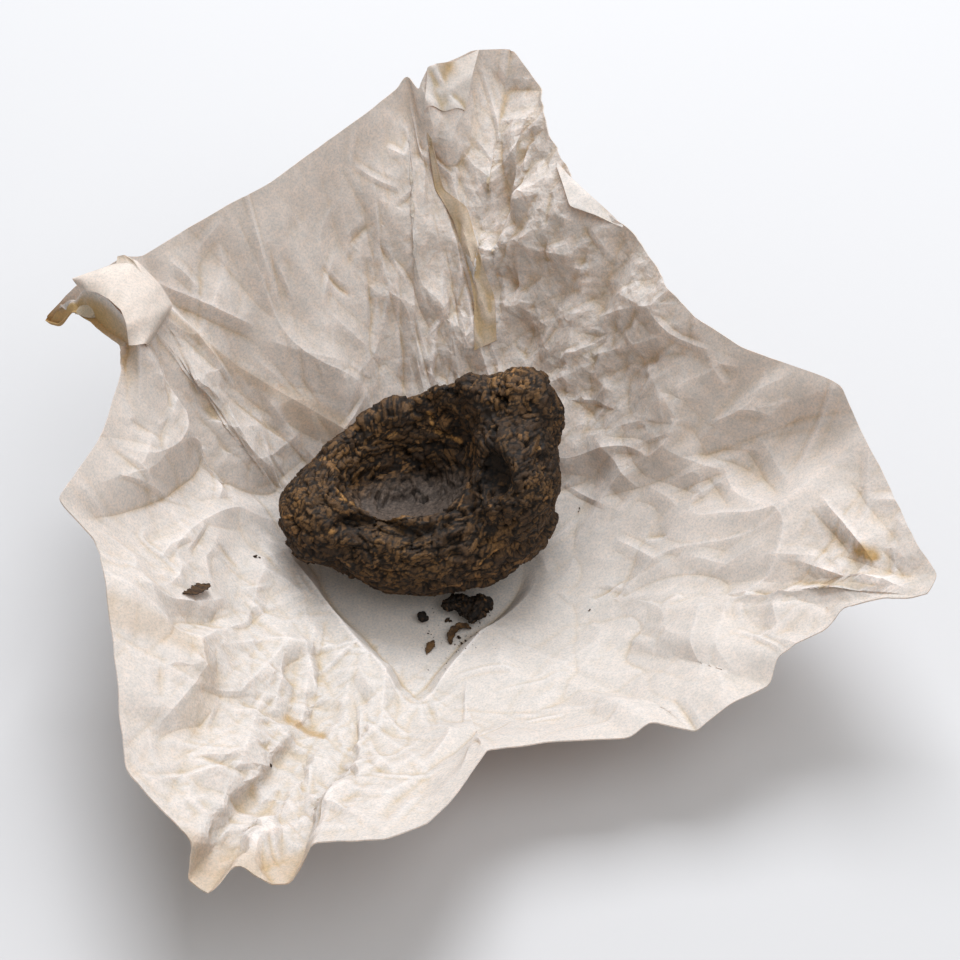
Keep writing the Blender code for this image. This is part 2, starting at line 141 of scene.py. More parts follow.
# a net of flat triangles with random corner heights, in -1 to 1
def facets(x, y, size, seed):
    rng = np.random.default_rng(seed)
    heights = rng.uniform(-1.0, 1.0, (64, 64))
    slant = rng.integers(0, 2, (64, 64))
    turned = seed * 0.7
    a = (x * math.cos(turned) - y * math.sin(turned)) / size
    b = (x * math.sin(turned) + y * math.cos(turned)) / size
    a, b = (a + 0.33 * np.sin(b * 2.1 + seed) + 0.14 * np.sin(b * 5.3 + 1.7 * seed),
            b + 0.33 * np.sin(a * 1.9 - seed) + 0.14 * np.sin(a * 4.7 + 0.6 * seed))
    column = np.floor(a).astype(int)
    row = np.floor(b).astype(int)
    p = a - column
    q = b - row
    corner = [[heights[(column + i) % 64, (row + j) % 64] for j in (0, 1)] for i in (0, 1)]
    flip = slant[column % 64, row % 64] == 1
    rising = np.where(p > q,
                      corner[0][0] + (corner[1][0] - corner[0][0]) * p + (corner[1][1] - corner[1][0]) * q,
                      corner[0][0] + (corner[0][1] - corner[0][0]) * q + (corner[1][1] - corner[0][1]) * p)
    falling = np.where(p + q < 1.0,
                       corner[0][0] + (corner[1][0] - corner[0][0]) * p + (corner[0][1] - corner[0][0]) * q,
                       corner[1][1] + (corner[0][1] - corner[1][1]) * (1 - p)
                       + (corner[1][0] - corner[1][1]) * (1 - q))
    return np.where(flip, rising, falling)


# an uneven net of flat triangles over a square grid, with random corner heights in -1 to 1
def crumpleNet(half, cells, size, seed):
    rng = np.random.default_rng(seed)
    spots = np.arange(-half - size, half + 2.0 * size, size)
    x, y = np.meshgrid(spots, spots, indexing="ij")
    corners = np.stack([x.ravel(), y.ravel()], 1) + rng.uniform(-0.45, 0.45, (x.size, 2)) * size
    heights = rng.uniform(-1.0, 1.0, len(corners))
    net = delaunay_2d_cdt([Vector(corner) for corner in corners], [], [], 0, 1e-6)
    height = np.zeros((cells + 1, cells + 1))
    step = 2.0 * half / cells
    for triangle in net[2]:
        (ax, ay), (bx, by), (cx, cy) = corners[triangle]
        least = (corners[triangle].min(0) + half) / step
        most = (corners[triangle].max(0) + half) / step
        low = np.clip(np.floor(least), 0, cells).astype(int)
        high = np.clip(np.ceil(most), 0, cells).astype(int)
        px = (np.arange(low[0], high[0] + 1) * step - half)[:, None]
        py = (np.arange(low[1], high[1] + 1) * step - half)[None, :]
        area = (bx - ax) * (cy - ay) - (cx - ax) * (by - ay)
        second = ((px - ax) * (cy - ay) - (cx - ax) * (py - ay)) / area
        third = ((bx - ax) * (py - ay) - (px - ax) * (by - ay)) / area
        inside = (second >= -1e-9) & (third >= -1e-9) & (second + third <= 1.0 + 1e-9)
        a, b, c = heights[triangle]
        window = height[low[0]:high[0] + 1, low[1]:high[1] + 1]
        window[inside] = (a + (b - a) * second + (c - a) * third)[inside]
    return height


# short straight creases at random places, thickest where the share is high
def wrinkleLines(half, cells, count, lengths, rises, widths, seed, share):
    rng = np.random.default_rng(seed)
    height = np.zeros((cells + 1, cells + 1))
    step = 2.0 * half / cells
    for _ in range(count):
        middle = rng.uniform(-half, half, 2)
        length, rise = rng.uniform(*lengths) / 2.0, rng.uniform(*rises) * rng.choice((-1.0, 1.0, 1.0))
        left, right = rng.uniform(*widths, 2)
        angle = rng.uniform(0.0, math.pi)
        bow = rng.uniform(-0.12, 0.12)
        chance = rng.uniform()
        centre = np.round((middle + half) / step).astype(int)
        if chance > share[tuple(centre)]:
            continue
        reach = int((length + max(left, right)) / step) + 1
        low = np.maximum(centre - reach, 0)
        high = np.minimum(centre + reach, cells)
        px = (np.arange(low[0], high[0] + 1) * step - half - middle[0])[:, None]
        py = (np.arange(low[1], high[1] + 1) * step - half - middle[1])[None, :]
        along = (px * math.cos(angle) + py * math.sin(angle)) / length
        aside = py * math.cos(angle) - px * math.sin(angle) + bow * length * along ** 2
        slope = np.where(aside > 0.0, 1.0 - aside / left, 1.0 + aside / right)
        shape = rise * np.clip(slope, 0.0, 1.0) * np.clip(1.0 - along ** 2, 0.0, 1.0)
        height[low[0]:high[0] + 1, low[1]:high[1] + 1] += shape
    return height


# The tissue

wrapper = {
    "cells": 221,               # along one side of the square
    "finer": 5,                 # steps inside a cell, among which each grid point looks for a crease
    "thickness": 0.12,          # drawn thicker than the real 0.04 mm, so that the edge still shows
    "half": 42.0,               # half the side of the square that the crumpling is laid out on
    "middle": (-6.0, -4.5),     # of the flat floor under the tea
    "flatRadius": 10.5,
    "wallPower": 1.25,          # above 1 the walls curve up more steeply the further out
    "rimSmoothing": 0.22,       # how widely the rim is blurred for the tissue's middle, in sides
    "ground": 0.22,             # height of the upper face where it lies flat
    # rim, corner by corner: x, y and height above the ground
    "leftToTop": (
        (-44.0, 11.7, 19.5), (-39.8, 10.8, 25.0), (-36.9, 11.1, 27.0), (-34.8, 12.3, 27.5),
        (-33.3, 13.2, 26.5), (-25.5, 19.2, 28.0), (-21.1, 21.4, 29.0), (-16.2, 25.6, 30.0),
        (-8.3, 33.1, 31.6), (-7.6, 34.2, 32.5), (-6.3, 32.7, 30.8), (-5.5, 34.2, 32.6), (-0.5, 37.7, 33.0),
    ),
    "topToRight": (
        (3.3, 37.9, 33.0), (6.2, 33.9, 31.0), (7.5, 28.0, 29.0), (11.2, 22.1, 27.0), (14.7, 18.6, 26.0),
        (16.9, 13.6, 25.5), (20.7, 7.2, 24.0), (25.2, 3.7, 23.0), (29.0, 2.3, 22.5), (33.8, -2.2, 24.0),
        (35.5, -5.0, 22.0), (38.4, -12.9, 20.5), (39.8, -17.8, 20.0), (41.3, -20.8, 19.5),
    ),
    "rightToNear": (
        (40.1, -22.8, 19.0), (33.0, -21.5, 16.0), (31.3, -23.4, 15.0), (27.0, -25.0, 13.0),
        (26.4, -27.3, 11.5), (23.1, -28.9, 11.0), (19.5, -31.2, 9.5), (15.4, -30.3, 10.0), (13.5, -31.9, 9.5),
        (5.8, -32.4, 10.0), (0.5, -34.0, 12.0), (-1.7, -39.5, 14.0), (-4.4, -43.5, 15.0), (-7.9, -45.6, 16.0),
        (-14.0, -45.3, 15.0), (-15.9, -47.9, 12.5), (-18.2, -47.6, 12.5), (-20.3, -46.4, 13.0),
    ),
    "nearToLeft": (
        (-22.6, -48.9, 12.5), (-24.6, -47.7, 13.0), (-24.1, -45.5, 15.0), (-29.4, -40.1, 18.0),
        (-31.4, -32.3, 19.0), (-33.0, -24.7, 19.5), (-34.7, -17.6, 20.5), (-37.7, -15.4, 24.0),
        (-35.7, -7.3, 22.5), (-34.3, 0.7, 23.5), (-34.9, 3.2, 23.5),
    ),
    # large folds: start and end on the plan, rise, width on the left and on the right
    "folds": (
        ((-6.2, 33.5), (1.2, 13.0), 1.5, 7.0, 1.2),
        ((-31.0, 9.6), (-14.0, 8.4), 1.4, 6.0, 1.4),
        ((34.0, -2.5), (14.0, 3.0), 1.0, 2.0, 7.0),
        ((-18.8, -6.2), (-7.6, -22.6), 2.2, 1.5, 9.0),
        ((4.2, -8.2), (-5.2, -22.0), 1.4, 8.0, 1.2),
        ((-22.5, -44.0), (-18.5, -16.0), 0.9, 4.0, 4.0),
        ((-33.5, -21.5), (-24.0, -24.5), 1.5, 3.0, 5.0),
    ),
    # creases between the large folds, as above; a rise below 0 is a valley
    "creases": (
        # far right wall
        ((-4.9, 29.6), (0.6, 16.5), -0.9, 1.1, 1.3),
        ((-2.0, 33.9), (-3.7, 29.9), 0.35, 1.4, 1.4),
        ((-2.0, 30.4), (2.3, 28.5), 0.45, 1.2, 2.5),
        ((2.7, 31.5), (3.4, 24.9), -0.7, 1.6, 1.3),
        ((4.7, 25.3), (7.9, 25.2), 0.5, 1.2, 2.2),
        ((-0.6, 24.0), (6.5, 21.9), 0.8, 1.3, 3.2),
        ((7.9, 26.0), (9.4, 21.5), 0.8, 3.0, 4.0),
        ((9.4, 21.5), (14.6, 18.2), 0.8, 3.0, 4.0),
        ((14.4, 17.7), (11.4, 14.3), -0.6, 3.0, 1.5),
        ((12.2, 13.2), (18.4, 9.7), 0.9, 1.6, 2.8),
        ((7.7, 19.7), (10.7, 19.0), 0.4, 1.5, 2.0),
        ((1.6, 19.1), (4.7, 17.8), 0.5, 1.2, 2.2),
        ((6.3, 15.6), (11.2, 14.5), 0.6, 1.5, 2.6),
        ((11.3, 10.7), (18.4, 7.4), 0.55, 1.2, 2.2),
        # far left wall
        ((-22.0, 12.2), (-15.6, 13.3), 0.7, 5.0, 2.8),
        ((-14.6, 13.6), (-14.8, 10.2), 0.5, 2.0, 3.0),
        ((-16.6, 16.2), (-11.1, 15.1), 0.35, 1.2, 3.0),
        ((-12.0, 26.5), (-7.5, 22.0), 0.4, 5.0, 4.0),
        ((-22.5, 18.5), (-17.0, 17.5), 0.4, 3.0, 4.0),
        # left wall
        ((-31.5, 12.0), (-24.0, 12.6), 0.9, 4.0, 1.1),
        ((-35.0, 9.0), (-31.1, 1.8), 1.1, 1.7, 3.0),
        ((-29.9, 5.4), (-28.2, 6.2), 0.6, 1.5, 1.5),
        ((-28.2, 6.2), (-26.1, 8.6), 0.7, 1.6, 2.6),
        ((-28.0, 6.9), (-25.7, 4.6), 0.5, 2.0, 1.5),
        ((-26.8, 3.3), (-22.7, 6.3), 0.9, 2.5, 2.0),
        ((-22.0, 8.2), (-16.3, 5.1), 0.9, 2.5, 3.5),
        ((-26.9, -0.2), (-23.3, -0.9), -0.5, 1.5, 1.8),
        ((-25.0, 1.5), (-19.5, 6.8), 0.9, 3.0, 1.8),
        ((-33.0, -8.0), (-25.0, -9.0), 0.6, 4.0, 5.0),
        # lower left
        ((-26.2, -23.7), (-25.8, -27.0), 1.0, 1.6, 5.0),
        ((-25.8, -27.0), (-27.9, -33.8), 1.0, 2.4, 5.0),
        ((-25.9, -23.8), (-25.0, -20.6), 0.6, 1.2, 2.6),
        ((-25.0, -20.6), (-22.4, -16.8), 0.6, 1.2, 2.6),
        ((-21.2, -8.3), (-22.0, -16.0), 0.3, 1.3, 1.5),
        ((-18.6, -19.0), (-18.9, -26.8), 0.7, 1.4, 2.6),
        ((-17.3, -17.2), (-15.1, -23.2), 0.7, 1.2, 2.2),
        ((-15.1, -14.0), (-15.4, -27.2), -0.5, 2.6, 1.0),
        ((-8.9, -17.9), (-9.3, -27.8), 0.6, 1.3, 3.0),
        ((-22.2, -27.0), (-18.6, -18.6), 0.5, 1.5, 1.5),
        ((-18.0, -29.5), (-13.5, -33.0), 0.6, 3.0, 2.5),
        ((-24.5, -38.0), (-20.5, -33.0), 0.5, 2.0, 2.5),
        ((-20.0, -43.5), (-13.0, -38.5), 0.9, 4.0, 3.0),
        # right
        ((15.7, 2.8), (22.8, -3.0), 0.6, 2.4, 2.2),
        ((19.0, -3.4), (23.4, -3.7), -0.4, 1.2, 2.0),
        ((21.5, -1.1), (25.9, -4.6), -0.5, 1.3, 1.4),
        ((25.5, -3.1), (28.5, -7.5), -0.4, 1.3, 1.6),
        ((11.9, 3.5), (15.3, -0.9), 0.5, 1.0, 1.5),
        ((8.3, 10.0), (11.3, 5.5), -0.9, 2.0, 1.8),
        ((31.0, -15.5), (38.0, -21.0), 0.7, 1.3, 1.5),
        ((29.5, -18.0), (37.0, -22.3), 0.5, 1.2, 1.2),
        ((33.0, -10.6), (36.3, -17.2), 0.8, 2.0, 1.2),
        ((22.0, -13.0), (27.5, -12.0), 0.25, 1.5, 2.5),
        ((14.0, -15.0), (22.0, -11.5), 0.25, 2.0, 3.0),
    ),
    # where the tissue is doubled and turned away from the light it is painted a darker yellow, as painted
    # shade:
    # start, end, half width and strength
    "shadeFolds": (
        ((-30.5, 9.0), (-21.0, 8.9), 0.4, 0.35),
        ((-20.0, 8.6), (-15.0, 8.4), 1.0, 0.35),
        ((35.2, -16.2), (36.6, -17.4), 0.4, 1.0),
        ((-17.6, -27.3), (-14.8, -28.4), 0.5, 0.8),
        ((-24.0, -46.8), (-16.0, -46.5), 2.2, 0.4),
        ((-32.5, -24.8), (-27.0, -25.2), 1.4, 0.25),
        ((-25.0, -27.0), (-25.6, -33.0), 1.2, 0.2),
    ),
    # the left corner is turned over into a hood: its top ends in a crest, with a steep drop on the near side
    "hood": {"rise": 8.0, "crest": 0.945, "drop": 0.045, "inner": 0.33, "farFade": 0.28,
             "nearTurn": (0.10, 0.25), "farTurn": (0.10, 0.24), "cornerTurn": 0.09,
             "tip": 0.55, "tipTurn": (0.015, 0.075)},
    # the fold between the hood and the tea is filled up to a slope: its line, how wide, the slope's
    # height over the layout's origin and its rise along x and y, and the most that it reaches
    "gutter": {"start": (-37.0, 7.0), "end": (-22.0, 2.5), "reach": (2.5, 6.5), "level": -28.1,
               "slope": (-1.44, 0.75), "most": 24.0},
    # crumpling as on the solid: facet size, height and seed
    "crumple": ((13.0, 1.7, 11), (6.5, 0.8, 23)),
    # finer nets of facets: size, height and seed
    "fineCrumple": ((4.6, 0.40, 31), (2.6, 0.24, 47), (1.4, 0.10, 59)),
    "wrinkles": {"count": 1500, "lengths": (2.5, 10.0), "rises": (0.06, 0.26), "widths": (0.4, 1.6),
                 "seed": 12},
    # how strongly the fine crumpling shows: everywhere, then by place, reach and strength, and at most
    "crumpledLeast": 0.12,
    "crumpledMost": 1.8,
    "crumpledPlaces": (
        ((6.0, 22.0), 13.0, 1.6), ((-26.0, 5.0), 8.0, 0.4), ((-20.0, -22.0), 10.0, 0.7),
        ((14.0, 10.0), 8.0, 0.6), ((-21.0, -40.0), 9.0, 0.8), ((36.0, -18.0), 7.0, 0.6),
        ((-8.0, 14.0), 8.0, 0.3), ((-12.0, -34.0), 7.0, 0.7),
    ),
    "rimCalm": 0.7,             # how much of the large crumpling is left out at the rim
    "foldTaper": 4.0,           # how far a large fold runs out beyond its ends
    "creaseTaper": 1.5,
    "sharpAngle": 8.0,          # degrees between two faces above which the edge between them shows
}


# the rim as evenly spaced samples, with a smoothed copy for the tissue's middle
def rimTable(samples=1440):
    sides = [wrapper[k] for k in ("leftToTop", "topToRight", "rightToNear", "nearToLeft")]
    turns = []
    points = []
    for number, side in enumerate(sides):
        chain = np.array(side + (sides[(number + 1) % 4][0],))
        reached = np.concatenate([[0.0], np.cumsum(np.linalg.norm(np.diff(chain, axis=0), axis=1))])
        turns.extend(number + reached[:-1] / reached[-1])
        points.extend(side)
    points = np.array(points)
    at = np.arange(samples) * 4.0 / samples
    sharp = np.stack([np.interp(at, turns, points[:, axis], period=4.0) for axis in range(3)], 1)
    spread = np.arange(-samples // 2, samples // 2) * 4.0 / samples

    def blurred(table, width):
        kernel = np.exp(-(spread / width) ** 2)
        kernel = np.fft.fft(np.fft.ifftshift(kernel / kernel.sum()))
        return np.stack([np.fft.ifft(np.fft.fft(table[:, axis]) * kernel).real for axis in range(3)], 1)

    return at, blurred(sharp, 0.008), blurred(sharp, wrapper["rimSmoothing"])


# where a ray from the square's middle meets its edge: 0 to 4, corner by corner
def turnOf(across, along):
    reach = np.maximum(np.maximum(abs(across), abs(along)), 1e-9)
    x = across / reach
    y = along / reach
    turn = np.where(y >= abs(x), (x + 1.0) / 2.0, 0.0)
    turn = np.where((x >= abs(y)) & (y < x), 1.0 + (1.0 - y) / 2.0, turn)
    turn = np.where((-y >= abs(x)) & (-y > x - 1e-12), 2.0 + (1.0 - x) / 2.0, turn)
    turn = np.where((-x >= abs(y)) & (-x > -y), 3.0 + (1.0 + y) / 2.0, turn)
    return turn % 4.0


# the bare nest, and how far up the wall each place is
def nestSurface(share, turn):
    at, sharp, soft = rimTable()
    blend = smoothStep(0.3, 0.95, share)
    rim = []
    for axis in range(3):
        fine = np.interp(turn, at, sharp[:, axis], period=4.0)
        even = np.interp(turn, at, soft[:, axis], period=4.0)
        rim.append(even + (fine - even) * blend)
    middle = wrapper["middle"]
    flat = wrapper["flatRadius"] / np.hypot(rim[0] - middle[0], rim[1] - middle[1])
    climb = np.clip((share - flat) / (1.0 - flat), 0.0, 1.0)
    x = middle[0] + (rim[0] - middle[0]) * share
    y = middle[1] + (rim[1] - middle[1]) * share
    z = wrapper["ground"] + (rim[2] - wrapper["ground"]) * climb ** wrapper["wallPower"]
    return np.stack([x, y, z], -1), climb


# distances along a line and to its left
def alongLine(x, y, start, end):
    run = np.array(end) - np.array(start)
    length = np.linalg.norm(run)
    run = run / length
    along = (x - start[0]) * run[0] + (y - start[1]) * run[1]
    aside = (x - start[0]) * -run[1] + (y - start[1]) * run[0]
    return along, aside, length


# tent-shaped folds, each running out at both ends over the taper's length
def foldHeight(x, y, folds, taper):
    total = np.zeros_like(x)
    for start, end, rise, leftWidth, rightWidth in folds:
        along, aside, length = alongLine(x, y, start, end)
        slope = np.where(aside > 0.0, 1.0 - aside / leftWidth, 1.0 + aside / rightWidth)
        ends = smoothStep(-taper, taper * 0.75, along) * (1.0 - smoothStep(length - taper * 0.75,
                                                                          length + taper, along))
        total += rise * np.clip(slope, 0.0, 1.0) * ends
    return total


# height of the left corner's hood, and how far a place is down its steep near side, which is painted in shade
def hoodHeight(share, turn):
    hood = wrapper["hood"]
    beside = np.where(turn > 2.0, turn - 4.0, turn)
    inner = smoothStep(0.0, 1.0, 1.0 + (share - hood["crest"]) / hood["inner"])
    down = np.clip((share - hood["crest"]) / hood["drop"], 0.0, 1.0)
    nearSide = inner * (1.0 - down) * (1.0 - smoothStep(*hood["nearTurn"], -beside))
    farSide = inner * np.clip((1.0 - share) / hood["farFade"], 0.0, 1.0)
    farSide = farSide * (1.0 - smoothStep(*hood["farTurn"], beside))
    far = smoothStep(0.0, hood["cornerTurn"], beside)
    hoodShade = smoothStep(0.0, 0.3, down) * (1.0 - smoothStep(*hood["nearTurn"], -beside)) * (1.0 - far)
    tip = hood["tip"] + (1.0 - hood["tip"]) * smoothStep(*hood["tipTurn"], abs(beside))
    return hood["rise"] * tip * (nearSide * (1.0 - far) + farSide * far), hoodShade


# how much higher a place becomes where the fold beside the hood is filled up
def gutterRise(x, y, z):
    gutter = wrapper["gutter"]
    along, aside, length = alongLine(x, y, gutter["start"], gutter["end"])
    away = np.hypot(aside, np.maximum(np.maximum(-along, along - length), 0.0))
    level = np.minimum(gutter["level"] + gutter["slope"][0] * x + gutter["slope"][1] * y, gutter["most"])
    return np.maximum(level - z, 0.0) * (1.0 - smoothStep(*gutter["reach"], away))


def gridNormals(points):
    normal = np.cross(np.gradient(points, axis=0), np.gradient(points, axis=1))
    return normal / np.linalg.norm(normal, axis=-1, keepdims=True)


# how raised (above 0) or hollow (below 0) a grid is, by its neighbours that many steps away
def bendOf(points, step):
    padded = np.pad(points, ((step, step), (step, step), (0, 0)), mode="edge")
    rows, columns = points.shape[:2]
    around = sum(padded[step + i * step:step + i * step + rows, step + j * step:step + j * step + columns]
                 for i, j in ((1, 0), (-1, 0), (0, 1), (0, -1))) / 4.0
    return np.einsum("ijk,ijk->ij", points - around, gridNormals(points))


def blurredGrid(values, rounds):
    for _ in range(rounds):
        for axis in (0, 1):
            here = np.arange(values.shape[axis])
            after = np.take(values, np.minimum(here + 1, here[-1]), axis)
            before = np.take(values, np.maximum(here - 1, 0), axis)
            values = (values * 2.0 + after + before) / 4.0
    return values


# how crumpled each place is
def crumpledShare(x, y):
    total = np.full_like(x, wrapper["crumpledLeast"])
    for spot, reach, strength in wrapper["crumpledPlaces"]:
        total += strength * np.exp(-((x - spot[0]) ** 2 + (y - spot[1]) ** 2) / reach ** 2)
    return np.clip(total, 0.0, wrapper["crumpledMost"])


# upper face of the tissue as a fine grid of points, with its painted shade and how crumpled it is
def tissueGrid():
    steps = np.linspace(-1.0, 1.0, wrapper["cells"] * wrapper["finer"] + 1)
    across, along = np.meshgrid(steps, steps, indexing="ij")
    share = np.maximum(abs(across), abs(along))
    turn = turnOf(across, along)
    points, climb = nestSurface(share, turn)
    normal = gridNormals(points)
    x, y = points[..., 0], points[..., 1]
    loose = smoothStep(0.0, 0.3, climb) * (1.0 - wrapper["rimCalm"] * smoothStep(0.85, 1.0, share))
    half = wrapper["half"]
    cells = len(steps) - 1
    large = sum(rise * facets(across * half, along * half, size, seed)
                for size, rise, seed in wrapper["crumple"])
    crumpled = crumpledShare(x, y)
    fine = sum(rise * crumpleNet(half, cells, size, seed) for size, rise, seed in wrapper["fineCrumple"])
    fine *= crumpled
    fine += wrinkleLines(half, cells, share=crumpled, **wrapper["wrinkles"])
    offGround = smoothStep(0.0, 0.12, climb)
    lift = large * loose + fine * offGround
    lift += foldHeight(x, y, wrapper["creases"], wrapper["creaseTaper"]) * offGround
    upper = points + normal * lift[..., None]
    upper[..., 2] += foldHeight(x, y, wrapper["folds"], wrapper["foldTaper"]) * smoothStep(0.0, 0.05, climb)
    raised, hoodShade = hoodHeight(share, turn)
    upper[..., 2] += raised
    upper[..., 2] += gutterRise(x, y, points[..., 2] + raised)
    upper[..., 2] = np.maximum(upper[..., 2], wrapper["ground"])
    # painted shade: the hood's near side, then the listed folds
    paintedShade = hoodShade
    for start, end, width, strength in wrapper["shadeFolds"]:
        beside, aside, length = alongLine(x, y, start, end)
        away = np.hypot(aside, np.maximum(np.maximum(-beside, beside - length), 0.0))
        paintedShade = np.maximum(paintedShade, strength * (1.0 - smoothStep(width * 0.6, width * 1.5, away)))
    return upper, climb, paintedShade, crumpled


# for each grid point the step within its own cell that lies best on a crease
def pickCreases(upper):
    finer = wrapper["finer"]
    reach = finer // 2
    sharpness = blurredGrid(abs(bendOf(upper, 1)), 1)
    sharpness /= np.linalg.norm(np.gradient(upper, axis=0), axis=-1)
    home = np.arange(wrapper["cells"] + 1) * finer
    rows, columns = np.meshgrid(home, home, indexing="ij")
    best = np.full(rows.shape, -1.0)
    picked = [rows.copy(), columns.copy()]
    last = home[-1]
    for i in range(-reach, reach + 1):
        for j in range(-reach, reach + 1):
            row = np.clip(rows + i, 0, last)
            column = np.clip(columns + j, 0, last)
            score = sharpness[row, column] - 0.0015 * (i * i + j * j)
            score[((rows == 0) | (rows == last)) & (i != 0)] = -1.0
            score[((columns == 0) | (columns == last)) & (j != 0)] = -1.0
            better = score > best
            best[better] = score[better]
            picked[0][better] = row[better]
            picked[1][better] = column[better]
    return picked


# a closed sheet between two grids of points, each cell cut the way that bends least
def gridMesh(name, upper, lower, flat, tones):
    rows, columns = upper.shape[:2]
    count = rows * columns
    points = np.concatenate([upper.reshape(-1, 3), lower.reshape(-1, 3)]) * mm
    index = np.arange(count).reshape(rows, columns)
    a, b, c, d = (index[:-1, :-1].ravel(), index[1:, :-1].ravel(), index[1:, 1:].ravel(),
                  index[:-1, 1:].ravel())

    def unitNormal(i, j, k):
        found = np.cross(points[j] - points[i], points[k] - points[i])
        return found / np.maximum(np.linalg.norm(found, axis=1, keepdims=True), 1e-15)

    first = (unitNormal(a, b, c) * unitNormal(a, c, d)).sum(1)
    second = (unitNormal(a, b, d) * unitNormal(b, c, d)).sum(1)
    use = (first >= second)[:, None]
    top = np.concatenate([np.where(use, np.stack([a, b, c], 1), np.stack([a, b, d], 1)),
                          np.where(use, np.stack([a, c, d], 1), np.stack([b, c, d], 1))])
    ring = np.concatenate([index[:, 0], index[-1, 1:], index[-2::-1, -1], index[0, -2:0:-1]])
    nextRing = np.roll(ring, -1)
    side = np.concatenate([np.stack([nextRing, ring, ring + count], 1),
                           np.stack([nextRing, ring + count, nextRing + count], 1)])
    faces = np.concatenate([top, top[:, ::-1] + count, side])
    mesh = bpy.data.meshes.new(name)
    mesh.from_pydata(points.tolist(), [], faces.tolist())
    uv = mesh.uv_layers.new(name="sheet")
    corners = np.empty(len(mesh.loops), int)
    mesh.loops.foreach_get("vertex_index", corners)
    uv.data.foreach_set("uv", np.concatenate([flat.reshape(-1, 2)] * 2)[corners].ravel())
    for tone, values in tones.items():
        storeFloat(mesh, tone, np.concatenate([values.ravel()] * 2))
    mesh.update()
    return mesh


# Machine-made tissue, undyed: matt, near white where light falls on it and warm where light comes
# through it from behind. Patterns repeat so many times in a metre.
tissueLook = {
    # painted shade and light: hollows are painted darker and yellower, raised places lighter
    "bendShadeTones": ((0.0, "#ddcdb2"), (0.5, "#ece8e2"), (1.0, "#fcfaf7")),    # hollow, even and raised
    # painted shade: a darker yellow for folds turned from the light and for the hood's near side
    "paintedShadeTone": "#cfae78",          # where it is doubled or shut away from the light
    "throughTint": "#deb478",       # what light takes on as it comes through
    "throughShare": 0.42,
    "roughness": 0.82,
    "fibres": 4200.0,               # about 0.2 mm wide, uneven
    "clouds": 1000.0,               # of 1 mm, as the fibres lie unevenly
    "dents": 400.0,                 # flat-sided crinkles about 2.5 mm wide, with nearly straight edges
    "dentDepth": 0.0003,            # in metres, as the next two; weaker where the tissue is smooth
    "dentWander": 0.0009,           # how far the crinkles' edges stray
    "fibreDepth": 0.00003,
}


def tissueMaterial():
    look = tissueLook
    made, tree, out = newMaterial("undyedTissuePaper")
    place = addNode(tree, "ShaderNodeTexCoord").outputs["Object"]
    grain = addNode(tree, "ShaderNodeTexNoise", {"Vector": place, "Scale": look["fibres"], "Detail": 2.0,
                                                 "Roughness": 0.7}).outputs["Fac"]
    clouds = addNode(tree, "ShaderNodeTexNoise", {"Vector": place, "Scale": look["clouds"], "Detail": 2.0,
                                                  "Roughness": 0.6})
    cloud = clouds.outputs["Fac"]
    # painted shade in the tissue's hollows and painted light on its raised places, by how bent it is
    bendShade = rampColour(tree, ranged(tree, storedValue(tree, "bend"), -0.04, 0.04, 0.0, 1.0),
                          look["bendShadeTones"])
    shadedColour = mixed(tree, storedValue(tree, "paintedShade"), bendShade, linearColour(look["paintedShadeTone"]))

    # the fibres hardly show in light that falls on them, and plainly in light that comes through
    litPattern = multiplied(tree, ranged(tree, grain, 0.30, 0.60, 0.90, 1.02),
                            ranged(tree, cloud, 0.35, 0.65, 0.95, 1.0))
    glowPattern = multiplied(tree, ranged(tree, grain, 0.30, 0.66, 0.45, 1.20),
                             ranged(tree, cloud, 0.35, 0.65, 0.80, 1.06))
    lit = mixed(tree, 1.0, shadedColour, litPattern, "MULTIPLY")
    glow = mixed(tree, 1.0, shadedColour, linearColour(look["throughTint"]), "MULTIPLY")
    glow = mixed(tree, 1.0, glow, glowPattern, "MULTIPLY")

    shift = addNode(tree, "ShaderNodeVectorMath", {0: clouds.outputs["Color"], "Scale": look["dentWander"]},
                    operation="SCALE")
    moved = addNode(tree, "ShaderNodeVectorMath", {0: place, 1: shift.outputs[0]}, operation="ADD")
    dents = addNode(tree, "ShaderNodeTexVoronoi", {"Vector": moved.outputs[0], "Scale": look["dents"]},
                    feature="F1", distance="CHEBYCHEV").outputs["Distance"]
    crinkles = addNode(tree, "ShaderNodeBump", {"Height": dents, "Strength": storedValue(tree, "crumpled"),
                                                "Distance": look["dentDepth"]}).outputs["Normal"]
    fibres = addNode(tree, "ShaderNodeBump", {"Height": grain, "Strength": 0.5, "Normal": crinkles,
                                              "Distance": look["fibreDepth"]}).outputs["Normal"]
    front = addNode(tree, "ShaderNodeBsdfPrincipled", {"Base Color": lit, "Roughness": look["roughness"],
                                                       "IOR": 1.5, "Specular IOR Level": 0.3,
                                                       "Normal": fibres})
    through = addNode(tree, "ShaderNodeBsdfTranslucent", {"Color": glow, "Normal": fibres})
    both = addNode(tree, "ShaderNodeMixShader", {"Fac": look["throughShare"], 1: front.outputs[0],
                                                 2: through.outputs[0]})
    tree.links.new(both.outputs[0], out.inputs["Surface"])
    return made


def makeWrapper(finish):
    fine, climb, paintedShade, crumpled = tissueGrid()
    picked = tuple(pickCreases(fine))
    upper = fine[picked]
    lower = upper - gridNormals(fine)[picked] * wrapper["thickness"]
    lower[climb[picked] <= 0.0, 2] = 0.0
    lower[..., 2] = np.maximum(lower[..., 2], 0.0)
    bend = blurredGrid(bendOf(fine, 3), 2)
    flat = np.stack(picked, -1) / (fine.shape[0] - 1.0)
    tones = {"bend": bend[picked], "paintedShade": paintedShade[picked], "crumpled": crumpled[picked]}
    mesh = gridMesh("wrapperTissue", upper + nestToPart, lower + nestToPart, flat, tones)
    mesh.shade_smooth()
    mesh.set_sharp_from_angle(angle=math.radians(wrapper["sharpAngle"]))
    return dressedPiece("wrapperTissue", mesh, finish)
